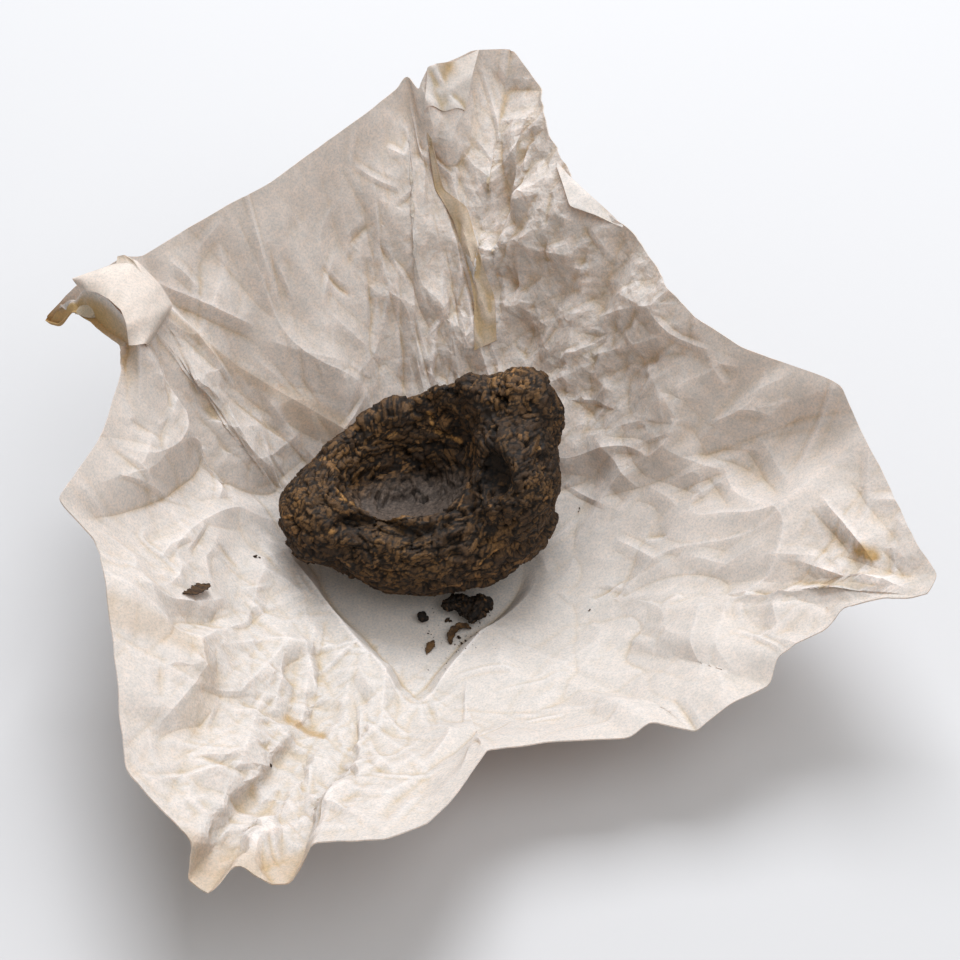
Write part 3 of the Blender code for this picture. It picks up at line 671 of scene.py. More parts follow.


# Parts of the tissue that are folded over and lie loose on the rest: rows of places, how far a part bulges
# between them, how far it is kept clear of the tissue below if at all, how much painted shade it has, and
# spots of painted shade as place, reach and strength
turnedParts = {
    "hoodTop": {"bulge": 0.8, "clear": None, "paintedShade": 0.22,
                "spots": (((-37.5, 8.2, 27.6), 2.4, 0.3),), "rows": (
        ((-38.9, 8.2, 27.4), (-37.8, 7.0, 27.9), (-36.7, 6.5, 28.2), (-35.4, 5.5, 28.3), (-34.1, 4.3, 28.0),
         (-33.5, 2.9, 27.4), (-33.4, 1.8, 25.8)),
        ((-39.2, 9.0, 27.3), (-37.8, 9.5, 27.9), (-35.9, 10.3, 28.2), (-33.7, 11.8, 27.6),
         (-31.4, 10.5, 25.4), (-30.2, 9.3, 23.6), (-31.9, 3.0, 24.4)),
    )},
    "hoodSpike": {"bulge": 0.0, "clear": None, "paintedShade": 0.25, "spots": (), "rows": (
        ((-35.3, 11.3, 28.4), (-34.6, 11.3, 28.6), (-33.8, 10.8, 28.4)),
        ((-35.4, 10.0, 28.0), (-33.6, 9.4, 28.0), (-32.0, 9.2, 26.8)),
    )},
    "cornerFlap": {"bulge": 0.0, "clear": 0.3, "paintedShade": 0.08,
                   "spots": (((-3.4, 35.0, 32.8), 1.0, 0.8),), "rows": (
        ((-5.4, 34.1, 33.0), (-2.6, 35.7, 33.1), (-0.1, 37.5, 33.2)),
        ((-5.6, 32.4, 31.6), (-3.1, 33.2, 31.5), (-0.8, 34.8, 32.0)),
        ((-5.8, 31.1, 29.9), (-3.6, 31.6, 29.7), (-1.5, 32.2, 29.4)),
    )},
    "edgeSliver": {"bulge": 0.0, "clear": None, "paintedShade": 0.0, "spots": (), "rows": (
        ((7.9, 25.1, 28.5), (9.2, 22.9, 28.4), (10.9, 21.1, 27.9), (12.7, 19.7, 27.0), (14.4, 18.1, 26.2)),
        ((7.8, 24.6, 28.4), (8.4, 22.0, 28.2), (9.0, 19.6, 27.5), (11.7, 18.9, 26.9), (14.3, 17.9, 26.1)),
    )},
    "pleatStrip": {"bulge": 0.0, "clear": 0.2, "paintedShade": 0.55, "spots": (), "rows": (
        ((-5.5, 30.1, 28.0), (-4.7, 27.2, 23.1), (-2.8, 25.2, 20.6), (-1.1, 20.6, 17.0), (-0.6, 18.8, 14.9),
         (-0.6, 15.2, 11.2)),
        ((-5.1, 29.7, 27.6), (-3.9, 27.3, 23.0), (-1.3, 25.7, 21.9), (0.2, 21.0, 18.1), (1.5, 19.2, 15.4),
         (1.7, 15.5, 12.4)),
    )},
}


# how they are made: steps between two places, rounds of evening, fine crumple, how strongly the crinkles
# show on them, and the angle in degrees above which an edge shows
turning = {"steps": 12, "rounds": 3, "crumpleSize": 2.2, "crumpleRise": 0.12, "crumpled": 0.4,
           "sharpAngle": 25.0}


# height of the tissue straight below a place
def heightBelow(tree, x, y):
    spot = Vector((x + nestToPart[0], y + nestToPart[1], 100.0)) * mm
    return tree.ray_cast(spot, Vector((0.0, 0.0, -1.0)))[0].z / mm


# a turned part: its rows of places joined by straight stretches, evened, and crumpled a little
def turnedPart(name, part, tree, finish):
    steps = turning["steps"]
    rows = np.array(part["rows"])
    for axis in (0, 1):
        count = rows.shape[axis]
        at = np.linspace(0.0, count - 1.0, (count - 1) * steps + 1)
        before = np.minimum(at.astype(int), count - 2)
        share = (at - before).reshape((-1, 1, 1) if axis == 0 else (1, -1, 1))
        rows = np.take(rows, before, axis) * (1.0 - share) + np.take(rows, before + 1, axis) * share
    for _ in range(turning["rounds"]):
        rows[1:-1] = (rows[:-2] + 2.0 * rows[1:-1] + rows[2:]) / 4.0
        rows[:, 1:-1] = (rows[:, :-2] + 2.0 * rows[:, 1:-1] + rows[:, 2:]) / 4.0
    if part["clear"]:
        below = np.array([heightBelow(tree, *spot[:2]) for spot in rows.reshape(-1, 3)])
        rows[..., 2] = np.maximum(rows[..., 2], below.reshape(rows.shape[:2]) + part["clear"])
    normal = gridNormals(rows)
    if normal[..., 2].mean() < 0.0:
        rows = rows[::-1]
        normal = gridNormals(rows)
    u, v = np.meshgrid(*(np.linspace(0.0, 1.0, size) for size in rows.shape[:2]), indexing="ij")
    crumples = turning["crumpleRise"] * facets(rows[..., 0], rows[..., 2], turning["crumpleSize"], len(name))
    crumples *= np.minimum(8.0 * u * (1.0 - u), 1.0)
    rows = rows + normal * (part["bulge"] * 4.0 * u * (1.0 - u) + crumples)[..., None]
    # painted shade over the whole part, and in spots
    paintedShade = np.full(u.shape, part["paintedShade"])
    for spot, reach, strength in part["spots"]:
        paintedShade = np.maximum(paintedShade, strength * nearness(rows, spot, reach))
    tones = {"bend": blurredGrid(bendOf(rows, 2), 1), "paintedShade": paintedShade,
             "crumpled": np.full(u.shape, turning["crumpled"])}
    lower = rows - gridNormals(rows) * wrapper["thickness"]
    mesh = gridMesh(name, rows + nestToPart, lower + nestToPart, np.stack([u, v], -1), tones)
    mesh.shade_smooth()
    mesh.set_sharp_from_angle(angle=math.radians(turning["sharpAngle"]))
    return dressedPiece(name, mesh, finish)


# The pressed tea

tea = {
    "middle": (-6.0, -3.4),
    "ground": 0.52,                 # height of its lowest point
    "voxel": 0.66,                  # size of the even faces that the lobes are joined with
    "smoothing": 7,                 # rounds that soften them
    "fineness": 2,                  # subdivisions of the evened body
    "lobes": (                      # centre from the middle of the tea, then radii
        ((0.4, -0.2, 6.4), (12.2, 8.1, 6.4)),
        ((-8.8, -0.4, 7.6), (5.6, 6.0, 4.9)),
        ((-6.2, 3.6, 8.0), (5.6, 3.9, 5.3)),
        ((-1.2, 6.0, 8.8), (6.8, 3.7, 6.4)),
        ((3.4, 6.4, 10.6), (5.8, 3.5, 7.2)),
        ((6.2, 6.4, 12.4), (4.4, 3.2, 7.4)),
        ((9.4, 1.0, 9.8), (5.3, 7.8, 8.4)),
        ((9.4, 5.3, 13.0), (5.2, 3.9, 7.9)),
        ((0.8, -4.4, 6.1), (10.6, 4.7, 4.9)),
    ),
    "hollows": (
        ((-2.0, 1.5, 17.0), (8.0, 6.4, 8.8)),
        ((6.9, -3.2, 16.2), (1.9, 2.3, 3.2)),
    ),
    # where the leaf is pressed smooth: middle from the middle of the tea, then radii
    "smooth": ((-0.6, -0.6, 10.0), (5.4, 3.6, 4.2)),
    # flakes of leaf, laid coarse to fine: how many, length, width, thickness, and how far they stray
    # from lying round the hollow
    "flakes": (
        {"count": 620, "lengths": (3.0, 8.0), "widths": (1.1, 2.6), "rises": (0.16, 0.42), "stray": 0.35},
        {"count": 1900, "lengths": (1.4, 4.4), "widths": (0.5, 1.2), "rises": (0.08, 0.24), "stray": 0.45},
        {"count": 1700, "lengths": (0.7, 2.0), "widths": (0.25, 0.55), "rises": (0.04, 0.14),
         "stray": 0.8},
    ),
    # holes and grooves between the flakes, also painted darker as painted shade: place, reach and depth
    "pits": (
        ((1.0, -4.6, 16.4), 1.5, 1.0), ((1.9, -6.0, 15.4), 1.2, 0.9),
        ((-13.3, -7.9, 11.2), 0.8, 0.8), ((-12.2, -8.0, 11.2), 0.8, 0.9), ((-11.0, -7.9, 11.4), 0.8, 0.8),
        ((-9.3, -8.1, 11.8), 0.8, 0.8), ((-8.0, -9.0, 11.4), 0.8, 0.9), ((-6.4, -9.5, 11.2), 0.9, 1.1),
        ((-4.9, -9.2, 11.4), 0.7, 0.8), ((-3.4, -8.7, 11.7), 0.7, 0.6),
        ((-15.6, -6.1, 12.4), 0.7, 0.6), ((-16.4, -6.8, 12.0), 0.5, 0.5), ((-13.3, -3.9, 12.0), 0.7, 0.7),
        ((-16.6, -9.4, 8.1), 0.5, 0.5), ((-14.2, -10.0, 7.1), 0.6, 0.5),
        ((-2.4, -11.0, 9.8), 0.5, 0.5), ((-2.9, -9.9, 10.8), 0.5, 0.5),
    ),
    # tone by place, partly painted light and shade (the top of the high right lobe lighter, the recess on its
    # near face and the near side darker): place, reach, lightness and share of gold
    "tones": (
        ((-17.5, -6.3, 11.0), 3.4, 1.35, 0.55),
        ((-13.0, 0.8, 12.4), 4.5, 1.35, 0.20),
        ((-5.5, 4.4, 14.6), 4.0, 1.20, 0.10),
        ((2.6, 2.0, 20.5), 2.8, 1.80, 0.45),
        ((4.6, 0.0, 18.6), 3.0, 1.0, 0.10),
        ((5.0, -8.0, 14.0), 4.0, 0.95, 0.30),
        ((-8.0, -10.8, 8.5), 4.5, 0.90, 0.75),
        ((1.5, -10.2, 10.0), 3.0, 1.0, 0.60),
        ((-5.0, -2.0, 9.6), 4.5, 1.15, 0.0),
        ((1.2, -5.0, 16.0), 2.0, 0.50, 0.0),
    ),
    # golden streaks: places along each, then its half width
    "gold": (
        (((-13.6, -5.8, 12.4), (-12.8, -5.7, 12.1), (-11.6, -6.1, 11.8), (-10.3, -5.9, 11.4),
          (-8.8, -6.7, 11.6), (-7.6, -7.5, 12.1), (-6.4, -7.7, 12.3)), 0.30),
        (((-5.0, 3.6, 14.6), (-4.6, 3.1, 13.7), (-4.0, 2.5, 12.9), (-3.0, 1.6, 12.8),
          (-2.2, 0.8, 13.1)), 0.34),
        (((0.0, -11.3, 8.6), (0.4, -11.0, 8.9), (1.0, -10.6, 9.1), (1.7, -10.2, 9.6)), 0.28),
        (((-14.9, -8.7, 10.7), (-14.4, -8.7, 10.6)), 0.32),
        (((5.8, -3.8, 17.5), (5.5, -4.1, 17.6)), 0.26),
        (((-16.0, -0.6, 12.3), (-15.4, -0.9, 12.6)), 0.30),
        (((-9.3, 2.8, 11.9), (-8.6, 3.1, 12.2)), 0.26),
        (((-0.4, -1.1, 15.4), (-0.6, -3.3, 14.9), (-0.5, -4.6, 14.5)), 0.20),
        (((-13.8, -4.6, 12.4), (-13.4, -5.4, 12.4)), 0.30),
    ),
    "sink": 0.3,                    # how far the leaf lies below the even body
    "seed": 5,
}

# leaf that fell under the tea's near side
clump = {
    "middle": (-1.4, -10.9),
    "ground": 0.50,
    "voxel": 0.30,
    "smoothing": 2,
    "fineness": 2,
    "lobes": (
        ((-0.9, 0.3, 0.7), (1.7, 1.1, 0.60)),
        ((1.0, 0.2, 0.7), (1.6, 1.1, 0.60)),
        ((0.5, -0.9, 0.75), (1.4, 1.2, 0.66)),
        ((0.7, -1.7, 0.5), (0.8, 0.8, 0.45)),
        ((-1.7, -0.3, 0.6), (0.8, 0.7, 0.45)),
    ),
    "hollows": (),
    "smooth": None,
    "flakes": (
        {"count": 110, "lengths": (0.9, 2.4), "widths": (0.35, 0.8), "rises": (0.08, 0.26), "stray": 1.2},
        {"count": 160, "lengths": (0.5, 1.2), "widths": (0.2, 0.4), "rises": (0.04, 0.12), "stray": 1.2},
    ),
    "pits": (),
    "tones": (((-1.4, -10.9, 1.2), 4.0, 0.55, 0.0),),
    "gold": (),
    "sink": 0.0,
    "seed": 9,
}

# a bead of leaf, lying by itself
bead = {
    "middle": (-5.7, -12.0),
    "ground": 0.50,
    "voxel": 0.16,
    "smoothing": 1,
    "fineness": 1,
    "lobes": (
        ((-0.15, 0.1, 0.4), (0.50, 0.45, 0.40)),
        ((0.25, -0.15, 0.35), (0.38, 0.42, 0.34)),
        ((0.0, -0.3, 0.25), (0.45, 0.3, 0.25)),
    ),
    "hollows": (),
    "smooth": None,
    "flakes": (
        {"count": 40, "lengths": (0.4, 0.9), "widths": (0.15, 0.35), "rises": (0.03, 0.10), "stray": 1.5},
    ),
    "pits": (),
    "tones": (((-5.7, -12.0, 0.8), 4.0, 0.35, 0.0),),
    "gold": (),
    "sink": 0.0,
    "seed": 3,
}

# bits of leaf on the tissue: path as x, y, lift and half width; cupping, thickness, lightness, gold
looseBits = {
    "looseFlake": {"node": "loose_flake", "cup": 0.35, "thickness": 0.16, "lightness": 0.9, "gold": 0.1,
                   "path": ((-27.7, -18.4, 0.00, 0.06), (-27.3, -17.8, 0.10, 0.40),
                            (-26.8, -17.0, 0.35, 0.62), (-26.3, -16.2, 0.60, 0.66),
                            (-25.9, -15.6, 0.75, 0.34), (-25.8, -15.3, 0.8, 0.10))},
    "looseLeaf": {"node": "loose_leaf", "cup": 0.30, "thickness": 0.14, "lightness": 1.0, "gold": 0.4,
                  "path": ((-5.3, -16.3, 0.00, 0.05), (-5.2, -15.9, 0.03, 0.25), (-5.0, -15.4, 0.08, 0.42),
                           (-4.8, -14.9, 0.08, 0.38), (-4.6, -14.5, 0.04, 0.05))},
    "looseCurl": {"node": "loose_curl", "cup": 0.55, "thickness": 0.16, "lightness": 1.1, "gold": 0.15,
                  "path": ((-0.9, -13.2, 0.20, 0.10), (-1.5, -12.9, 0.30, 0.34), (-2.2, -13.1, 0.35, 0.40),
                           (-2.8, -13.7, 0.25, 0.42), (-3.0, -14.4, 0.10, 0.34), (-2.9, -15.0, 0.0, 0.10))},
}

# crumbs as x, y and size, then dust scattered round a middle
crumbs = {
    "places": (
        (-3.3, -12.0, 0.50), (-3.0, -12.1, 0.36), (-2.1, -14.1, 0.38), (-1.8, -15.0, 0.34),
        (-1.4, -14.9, 0.30), (-1.4, -13.9, 0.13), (-0.9, -14.1, 0.12), (-2.1, -15.2, 0.14),
        (-2.5, -15.0, 0.16), (-0.3, -13.6, 0.14), (0.0, -12.3, 0.16), (0.9, -11.0, 0.16),
        (1.0, -11.4, 0.14), (-4.7, -11.0, 0.12), (-4.8, -10.5, 0.10), (-5.1, -13.3, 0.12),
        (-5.2, -13.6, 0.20), (-4.9, -13.7, 0.12), (-3.3, -17.8, 0.13), (-3.4, -19.0, 0.11),
        (-5.1, -18.3, 0.12), (-2.1, -16.2, 0.12), (-2.3, -16.3, 0.10), (-1.4, -16.7, 0.12),
        (-0.4, -16.6, 0.12), (-22.5, -7.9, 0.40), (-22.1, -7.8, 0.22), (-18.8, -34.1, 0.34),
        (11.0, -12.0, 0.18), (10.9, -12.1, 0.14), (10.3, -0.1, 0.20), (10.2, -0.4, 0.16),
    ),
    "dust": {"middle": (-1.6, -14.6), "spread": (2.2, 2.0), "count": 70, "sizes": (0.03, 0.10)},
    "flatness": 0.6,
    "seed": 21,
}


def ballsObject(name, rows):
    built = bmesh.new()
    for centre, radii in rows:
        spot = Matrix.LocRotScale(Vector(centre) * mm, None, Vector(radii) * mm)
        bmesh.ops.create_icosphere(built, subdivisions=4, radius=1.0, matrix=spot)
    mesh = bpy.data.meshes.new(name)
    built.to_mesh(mesh)
    built.free()
    return linkedObject(name, mesh)


def evenOut(made, size):
    remesh = made.modifiers.new("evenFaces", "REMESH")
    remesh.mode = "VOXEL"
    remesh.voxel_size = size * mm


# the object's mesh with its modifiers applied; the object itself is removed
def finishedMesh(made):
    bpy.context.view_layer.update()
    seen = made.evaluated_get(bpy.context.evaluated_depsgraph_get())
    mesh = bpy.data.meshes.new_from_object(seen)
    bpy.data.objects.remove(made, do_unlink=True)
    return mesh


# lobes run together, hollows taken out, faces evened and softened, then divided finer
def pressedBody(lobes, hollows, voxel, smoothing, fineness):
    body = ballsObject("pressedBody", lobes)
    evenOut(body, voxel)
    cutters = []
    for row in hollows:
        cutter = ballsObject("hollow", (row,))
        cut = body.modifiers.new("hollow", "BOOLEAN")
        cut.operation = "DIFFERENCE"
        cut.object = cutter
        cutters.append(cutter)
    if hollows:
        evenOut(body, voxel)
    soften = body.modifiers.new("soften", "SMOOTH")
    soften.factor = 0.5
    soften.iterations = smoothing
    finer = body.modifiers.new("finer", "SUBSURF")
    finer.levels = fineness
    finer.render_levels = fineness
    mesh = finishedMesh(body)
    for cutter in cutters:
        bpy.data.objects.remove(cutter, do_unlink=True)
    return mesh


# Lays flakes one over another: each flattens what is under it, stands up at its edge and leaves a dark gap of
# painted shade round itself. Gives the height, tone (0 to 1) and edge shading (0 in a painted dark gap, 1 on
# a flake).
def layFlakes(points, normals, layers, calm, hub, seed):
    rng = np.random.default_rng(seed)
    order = np.argsort(points[:, 0])
    sortedX = points[order, 0]
    height = np.zeros(len(points))
    tone = rng.uniform(0.2, 0.5, len(points))
    edgeShading = np.ones(len(points))
    upright = np.array((0.0, 0.0, 1.0))
    for layer in layers:
        for chosen in rng.integers(0, len(points), layer["count"]):
            still = calm[chosen]
            length = rng.uniform(*layer["lengths"]) / 2.0 * (1.0 - 0.35 * still)
            width = rng.uniform(*layer["widths"]) / 2.0 * (1.0 - 0.35 * still)
            rise = rng.uniform(*layer["rises"]) * (1.0 - 0.72 * still)
            tilt = rng.uniform(-0.5, 0.5) * rise
            hue = rng.uniform()
            curve = rng.uniform(-0.6, 0.6)
            blunt = rng.uniform(2.0, 5.0)
            normal = normals[chosen]
            run = np.cross(upright, points[chosen] - hub)
            run = run / np.linalg.norm(run) + layer["stray"] * rng.normal(size=3)
            run -= normal * (run @ normal)
            run /= np.linalg.norm(run)
            side = np.cross(normal, run)
            first, last = np.searchsorted(sortedX, (points[chosen, 0] - length * 1.2,
                                                    points[chosen, 0] + length * 1.2))
            near = order[first:last]
            away = points[near] - points[chosen]
            near = near[(abs(away[:, 1]) < length * 1.2) & (abs(away[:, 2]) < length * 1.2)]
            away = points[near] - points[chosen]
            along = (away @ run) / length
            aside = (away @ side) / width + curve * along ** 2
            # ragged ends: the edge wanders with the place along the flake
            edge = 1.0 + 0.16 * np.sin(along * 5.0 + hue * 40.0) + 0.10 * np.sin(along * 11.0 + hue * 90.0)
            reach = (abs(along) ** blunt + abs(aside / edge) ** 2.4) ** (1.0 / 2.4)
            covered = near[reach < 1.0]
            if not len(covered):
                continue
            aside = aside[reach < 1.0]
            under = height[covered].mean()
            height[covered] = height[covered] * 0.45 + under * 0.55 + rise + tilt * aside
            height[covered] -= 0.35 * rise * aside ** 2
            tone[covered] = hue
            edgeShading[covered] = 1.0
            # painted shade in a ring round the flake, which is also sunk a little
            gapWidth = 1.0 + 0.13 / width
            around = near[(reach >= 1.0) & (reach < gapWidth)]
            edgeShading[around] = np.minimum(edgeShading[around], 0.15 + 0.5 * still)
            height[around] -= 0.25 * rise
    return height, tone, edgeShading


def meshArrays(mesh):
    points = np.empty(len(mesh.vertices) * 3)
    mesh.vertices.foreach_get("co", points)
    normals = np.array([v.vector for v in mesh.vertex_normals])
    return points.reshape(-1, 3) / mm, normals


# distance from each point to a chain of straight lines
def chainDistance(points, chain):
    best = np.full(len(points), 1e9)
    for start, end in zip(chain[:-1], chain[1:]):
        start = np.array(start)
        run = np.array(end) - start
        share = np.clip((points - start) @ run / (run @ run), 0.0, 1.0)
        best = np.minimum(best, np.linalg.norm(points - start - share[:, None] * run, axis=1))
    return best


# Ripe pressed leaf: dry and matt, near black brown, with ochre tips. Patterns repeat so many times in
# a metre.
leafLook = {
    # by each flake's own tone, 0 to 1
    "flakeTones": ((0.0, "#291c11"), (0.30, "#352516"), (0.55, "#402d1a"), (0.80, "#4d371f"),
                   (0.94, "#573e24"), (1.0, "#67492a")),
    "smoothTone": "#4a4039",        # in the hollow, where it is pressed smooth
    "goldTone": "#7c5a31",
    "roughness": 0.62,
    "fibres": 3000.0,               # grain of 0.15 to 0.4 mm
    "fibreDepth": 0.00016,          # in metres
    "specks": 650.0,                # gold comes through in grains of this pattern
}


def leafMaterial():
    look = leafLook
    made, tree, out = newMaterial("pressedFermentedLeaf")
    place = addNode(tree, "ShaderNodeTexCoord").outputs["Object"]
    gold = storedValue(tree, "leafGold")
    grain = addNode(tree, "ShaderNodeTexNoise", {"Vector": place, "Scale": look["fibres"], "Detail": 4.0,
                                                 "Roughness": 0.75}).outputs["Fac"]
    specks = addNode(tree, "ShaderNodeTexNoise", {"Vector": place, "Scale": look["specks"], "Detail": 3.0,
                                                  "Roughness": 0.6}).outputs["Fac"]
    flakeColour = rampColour(tree, storedValue(tree, "leafTone"), look["flakeTones"])
    greyed = mixed(tree, storedValue(tree, "leafCalm"), flakeColour, linearColour(look["smoothTone"]))
    speckled = multiplied(tree, gold, ranged(tree, specks, 0.38, 0.70, 0.0, 1.0))
    golden = addNode(tree, "ShaderNodeMath", {0: speckled, 1: ranged(tree, gold, 0.6, 1.0, 0.0, 1.0)},
                     operation="MAXIMUM", use_clamp=True).outputs[0]
    gilded = mixed(tree, golden, greyed, linearColour(look["goldTone"]))
    # fibre grain times the painted shade round the flakes, then lightness by place with its painted light and
    # shade
    shade = multiplied(tree, ranged(tree, grain, 0.32, 0.68, 0.36, 1.6),
                       ranged(tree, storedValue(tree, "leafEdgeShading"), 0.1, 0.9, 0.12, 1.05))
    shade = multiplied(tree, shade, storedValue(tree, "leafLightnessAndShade"))
    colour = mixed(tree, 1.0, gilded, shade, "MULTIPLY")
    bump = addNode(tree, "ShaderNodeBump", {"Height": grain, "Strength": 0.8,
                                            "Distance": look["fibreDepth"]}).outputs["Normal"]
    front = addNode(tree, "ShaderNodeBsdfPrincipled", {"Base Color": colour, "Roughness": look["roughness"],
                                                       "IOR": 1.45, "Specular IOR Level": 0.3,
                                                       "Normal": bump})
    tree.links.new(front.outputs[0], out.inputs["Surface"])
    return made


# a leaf piece from a mesh and its tones; the mesh is in the nest's own millimetres
def leafPiece(name, mesh, points, tones, finish):
    mesh.vertices.foreach_set("co", ((points + nestToPart) * mm).ravel())
    for tone, values in tones.items():
        storeFloat(mesh, tone, values)
    mesh.update()
    mesh.shade_smooth()
    return dressedPiece(name, mesh, finish)


# a lump of pressed leaf from its settings, as the tea, the clump and the bead are
def pressedPiece(name, form, finish):
    mesh = pressedBody(form["lobes"], form["hollows"], form["voxel"], form["smoothing"], form["fineness"])
    points, normals = meshArrays(mesh)
    calm = np.zeros(len(points))
    if form["smooth"]:
        centre, radii = form["smooth"]
        calm = 1.0 - smoothStep(0.8, 1.25, np.linalg.norm((points - centre) / radii, axis=1))
    hub = np.array((form["hollows"][0][0][0] if form["hollows"] else 0.0, 0.0, 0.0))
    height, tone, edgeShading = layFlakes(points, normals, form["flakes"], calm, hub, form["seed"])
    height -= np.median(height) + form["sink"]
    points += (*form["middle"], form["ground"] - points[:, 2].min())
    lightness = np.ones(len(points))
    gold = np.zeros(len(points))
    # lightness by place, partly painted light and shade
    for spot, reach, light, share in form["tones"]:
        near = nearness(points, spot, reach)
        lightness *= light ** near
        gold = np.maximum(gold, share * near)
    for chain, width in form["gold"]:
        gold = np.maximum(gold, 1.0 - smoothStep(width * 0.5, width * 1.4, chainDistance(points, chain)))
    # pits are sunk, and painted darker as painted shade
    for spot, reach, depth in form["pits"]:
        near = nearness(points, spot, reach)
        height -= depth * near
        lightness *= 1.0 - 0.55 * near
    points += normals * height[:, None]
    points[:, 2] += form["ground"] - points[:, 2].min()
    tones = {"leafTone": tone, "leafEdgeShading": edgeShading, "leafLightnessAndShade": lightness, "leafGold": gold,
             "leafCalm": calm}
    return leafPiece(name, mesh, points, tones, finish)


# Loose leaf and crumbs

# a cupped strip of leaf with a vein, along its path and lying on the tissue
def looseBit(name, bit, tree, finish):
    rows, columns = 36, 14
    path = np.array(bit["path"])
    reached = np.concatenate([[0.0], np.cumsum(np.linalg.norm(np.diff(path[:, :2], axis=0), axis=1))])
    at = np.linspace(0.0, reached[-1], rows + 1)
    line = np.stack([np.interp(at, reached, path[:, k]) for k in range(4)], 1)
    for _ in range(6):
        line[1:-1] = (line[:-2] + 2.0 * line[1:-1] + line[2:]) / 4.0
    run = np.gradient(line[:, :2], axis=0)
    run /= np.linalg.norm(run, axis=1, keepdims=True)
    u, v = np.meshgrid(at, np.linspace(-1.0, 1.0, columns + 1), indexing="ij")
    half = line[:, 3, None] * (1.0 + 0.14 * np.sin(9.0 * u + 3.0 * v) + 0.08 * np.sin(23.0 * u))
    x = line[:, 0, None] - run[:, 1, None] * half * v
    y = line[:, 1, None] + run[:, 0, None] * half * v
    below = np.array([heightBelow(tree, *spot) for spot in zip(x.ravel(), y.ravel())]).reshape(x.shape)
    middle = below[:, columns // 2, None]
    vein = 0.035 * np.sin(14.0 * u - 6.0 * abs(v)) + 0.05 * np.exp(-(v / 0.12) ** 2)
    z = middle + line[:, 2, None] + bit["cup"] * half * v ** 2 + vein * 0.6
    z += max((below - z).max(), 0.0) + 0.03
    lower = np.stack([x, y, z], -1)
    upper = lower.copy()
    upper[..., 2] += bit["thickness"] * (1.0 - 0.75 * v ** 4)
    flat = np.stack([u, v], -1)
    tone = 0.45 + 0.25 * np.sin(7.0 * u + 2.0 * v) + 0.15 * np.sin(31.0 * u * (1.0 + 0.2 * v))
    # painted shade along the bit's two edges
    tones = {"leafTone": tone, "leafEdgeShading": np.clip(1.1 - v ** 8, 0.0, 1.0),
             "leafLightnessAndShade": np.full(x.shape, bit["lightness"]), "leafGold": np.full(x.shape, bit["gold"]),
             "leafCalm": np.zeros(x.shape)}
    mesh = gridMesh(name, upper + nestToPart, lower + nestToPart, flat, tones)
    mesh.shade_smooth()
    return dressedPiece(name, mesh, finish)


# Geometry nodes that put a lumpy, flattened crumb on each point; its size is the point's own
def crumbTree(finish):
    tree = bpy.data.node_groups.new("scatterCrumbs", "GeometryNodeTree")
    for label, kind in (("Geometry", "NodeSocketGeometry"), ("Flatness", "NodeSocketFloat"),
                        ("Seed", "NodeSocketInt")):
        tree.interface.new_socket(name=label, in_out="INPUT", socket_type=kind)
    tree.interface.new_socket(name="Geometry", in_out="OUTPUT", socket_type="NodeSocketGeometry")
    entry = addNode(tree, "NodeGroupInput")
    ball = addNode(tree, "GeometryNodeMeshIcoSphere", {"Radius": 0.5, "Subdivisions": 2})
    lumps = addNode(tree, "ShaderNodeTexNoise", {"Scale": 2.6, "Detail": 1.0})
    centred = addNode(tree, "ShaderNodeVectorMath", {0: lumps.outputs["Color"], 1: (0.5, 0.5, 0.5)},
                      operation="SUBTRACT")
    stronger = addNode(tree, "ShaderNodeVectorMath", {0: centred.outputs[0], "Scale": 1.3},
                       operation="SCALE")
    lumpy = addNode(tree, "GeometryNodeSetPosition", {"Geometry": ball.outputs["Mesh"],
                                                      "Offset": stronger.outputs[0]})
    flat = addNode(tree, "ShaderNodeCombineXYZ", {"X": 1.0, "Y": 0.8, "Z": entry.outputs["Flatness"]})
    crumb = addNode(tree, "GeometryNodeTransform", {"Geometry": lumpy.outputs["Geometry"],
                                                    "Scale": flat.outputs[0]})
    size = addNode(tree, "GeometryNodeInputNamedAttribute", {"Name": "size"}, data_type="FLOAT")
    turn = addNode(tree, "FunctionNodeRandomValue", {0: (-0.4, -0.4, 0.0), 1: (0.4, 0.4, 6.28),
                                                     "Seed": entry.outputs["Seed"]},
                   data_type="FLOAT_VECTOR")
    placed = addNode(tree, "GeometryNodeInstanceOnPoints", {"Points": entry.outputs["Geometry"],
                                                            "Instance": crumb.outputs["Geometry"],
                                                            "Rotation": turn.outputs["Value"],
                                                            "Scale": size.outputs["Attribute"]})
    real = addNode(tree, "GeometryNodeRealizeInstances", {"Geometry": placed.outputs["Instances"]})
    painted = addNode(tree, "GeometryNodeSetMaterial", {"Geometry": real.outputs["Geometry"],
                                                        "Material": finish})
    out = addNode(tree, "NodeGroupOutput")
    tree.links.new(painted.outputs["Geometry"], out.inputs["Geometry"])
    return tree


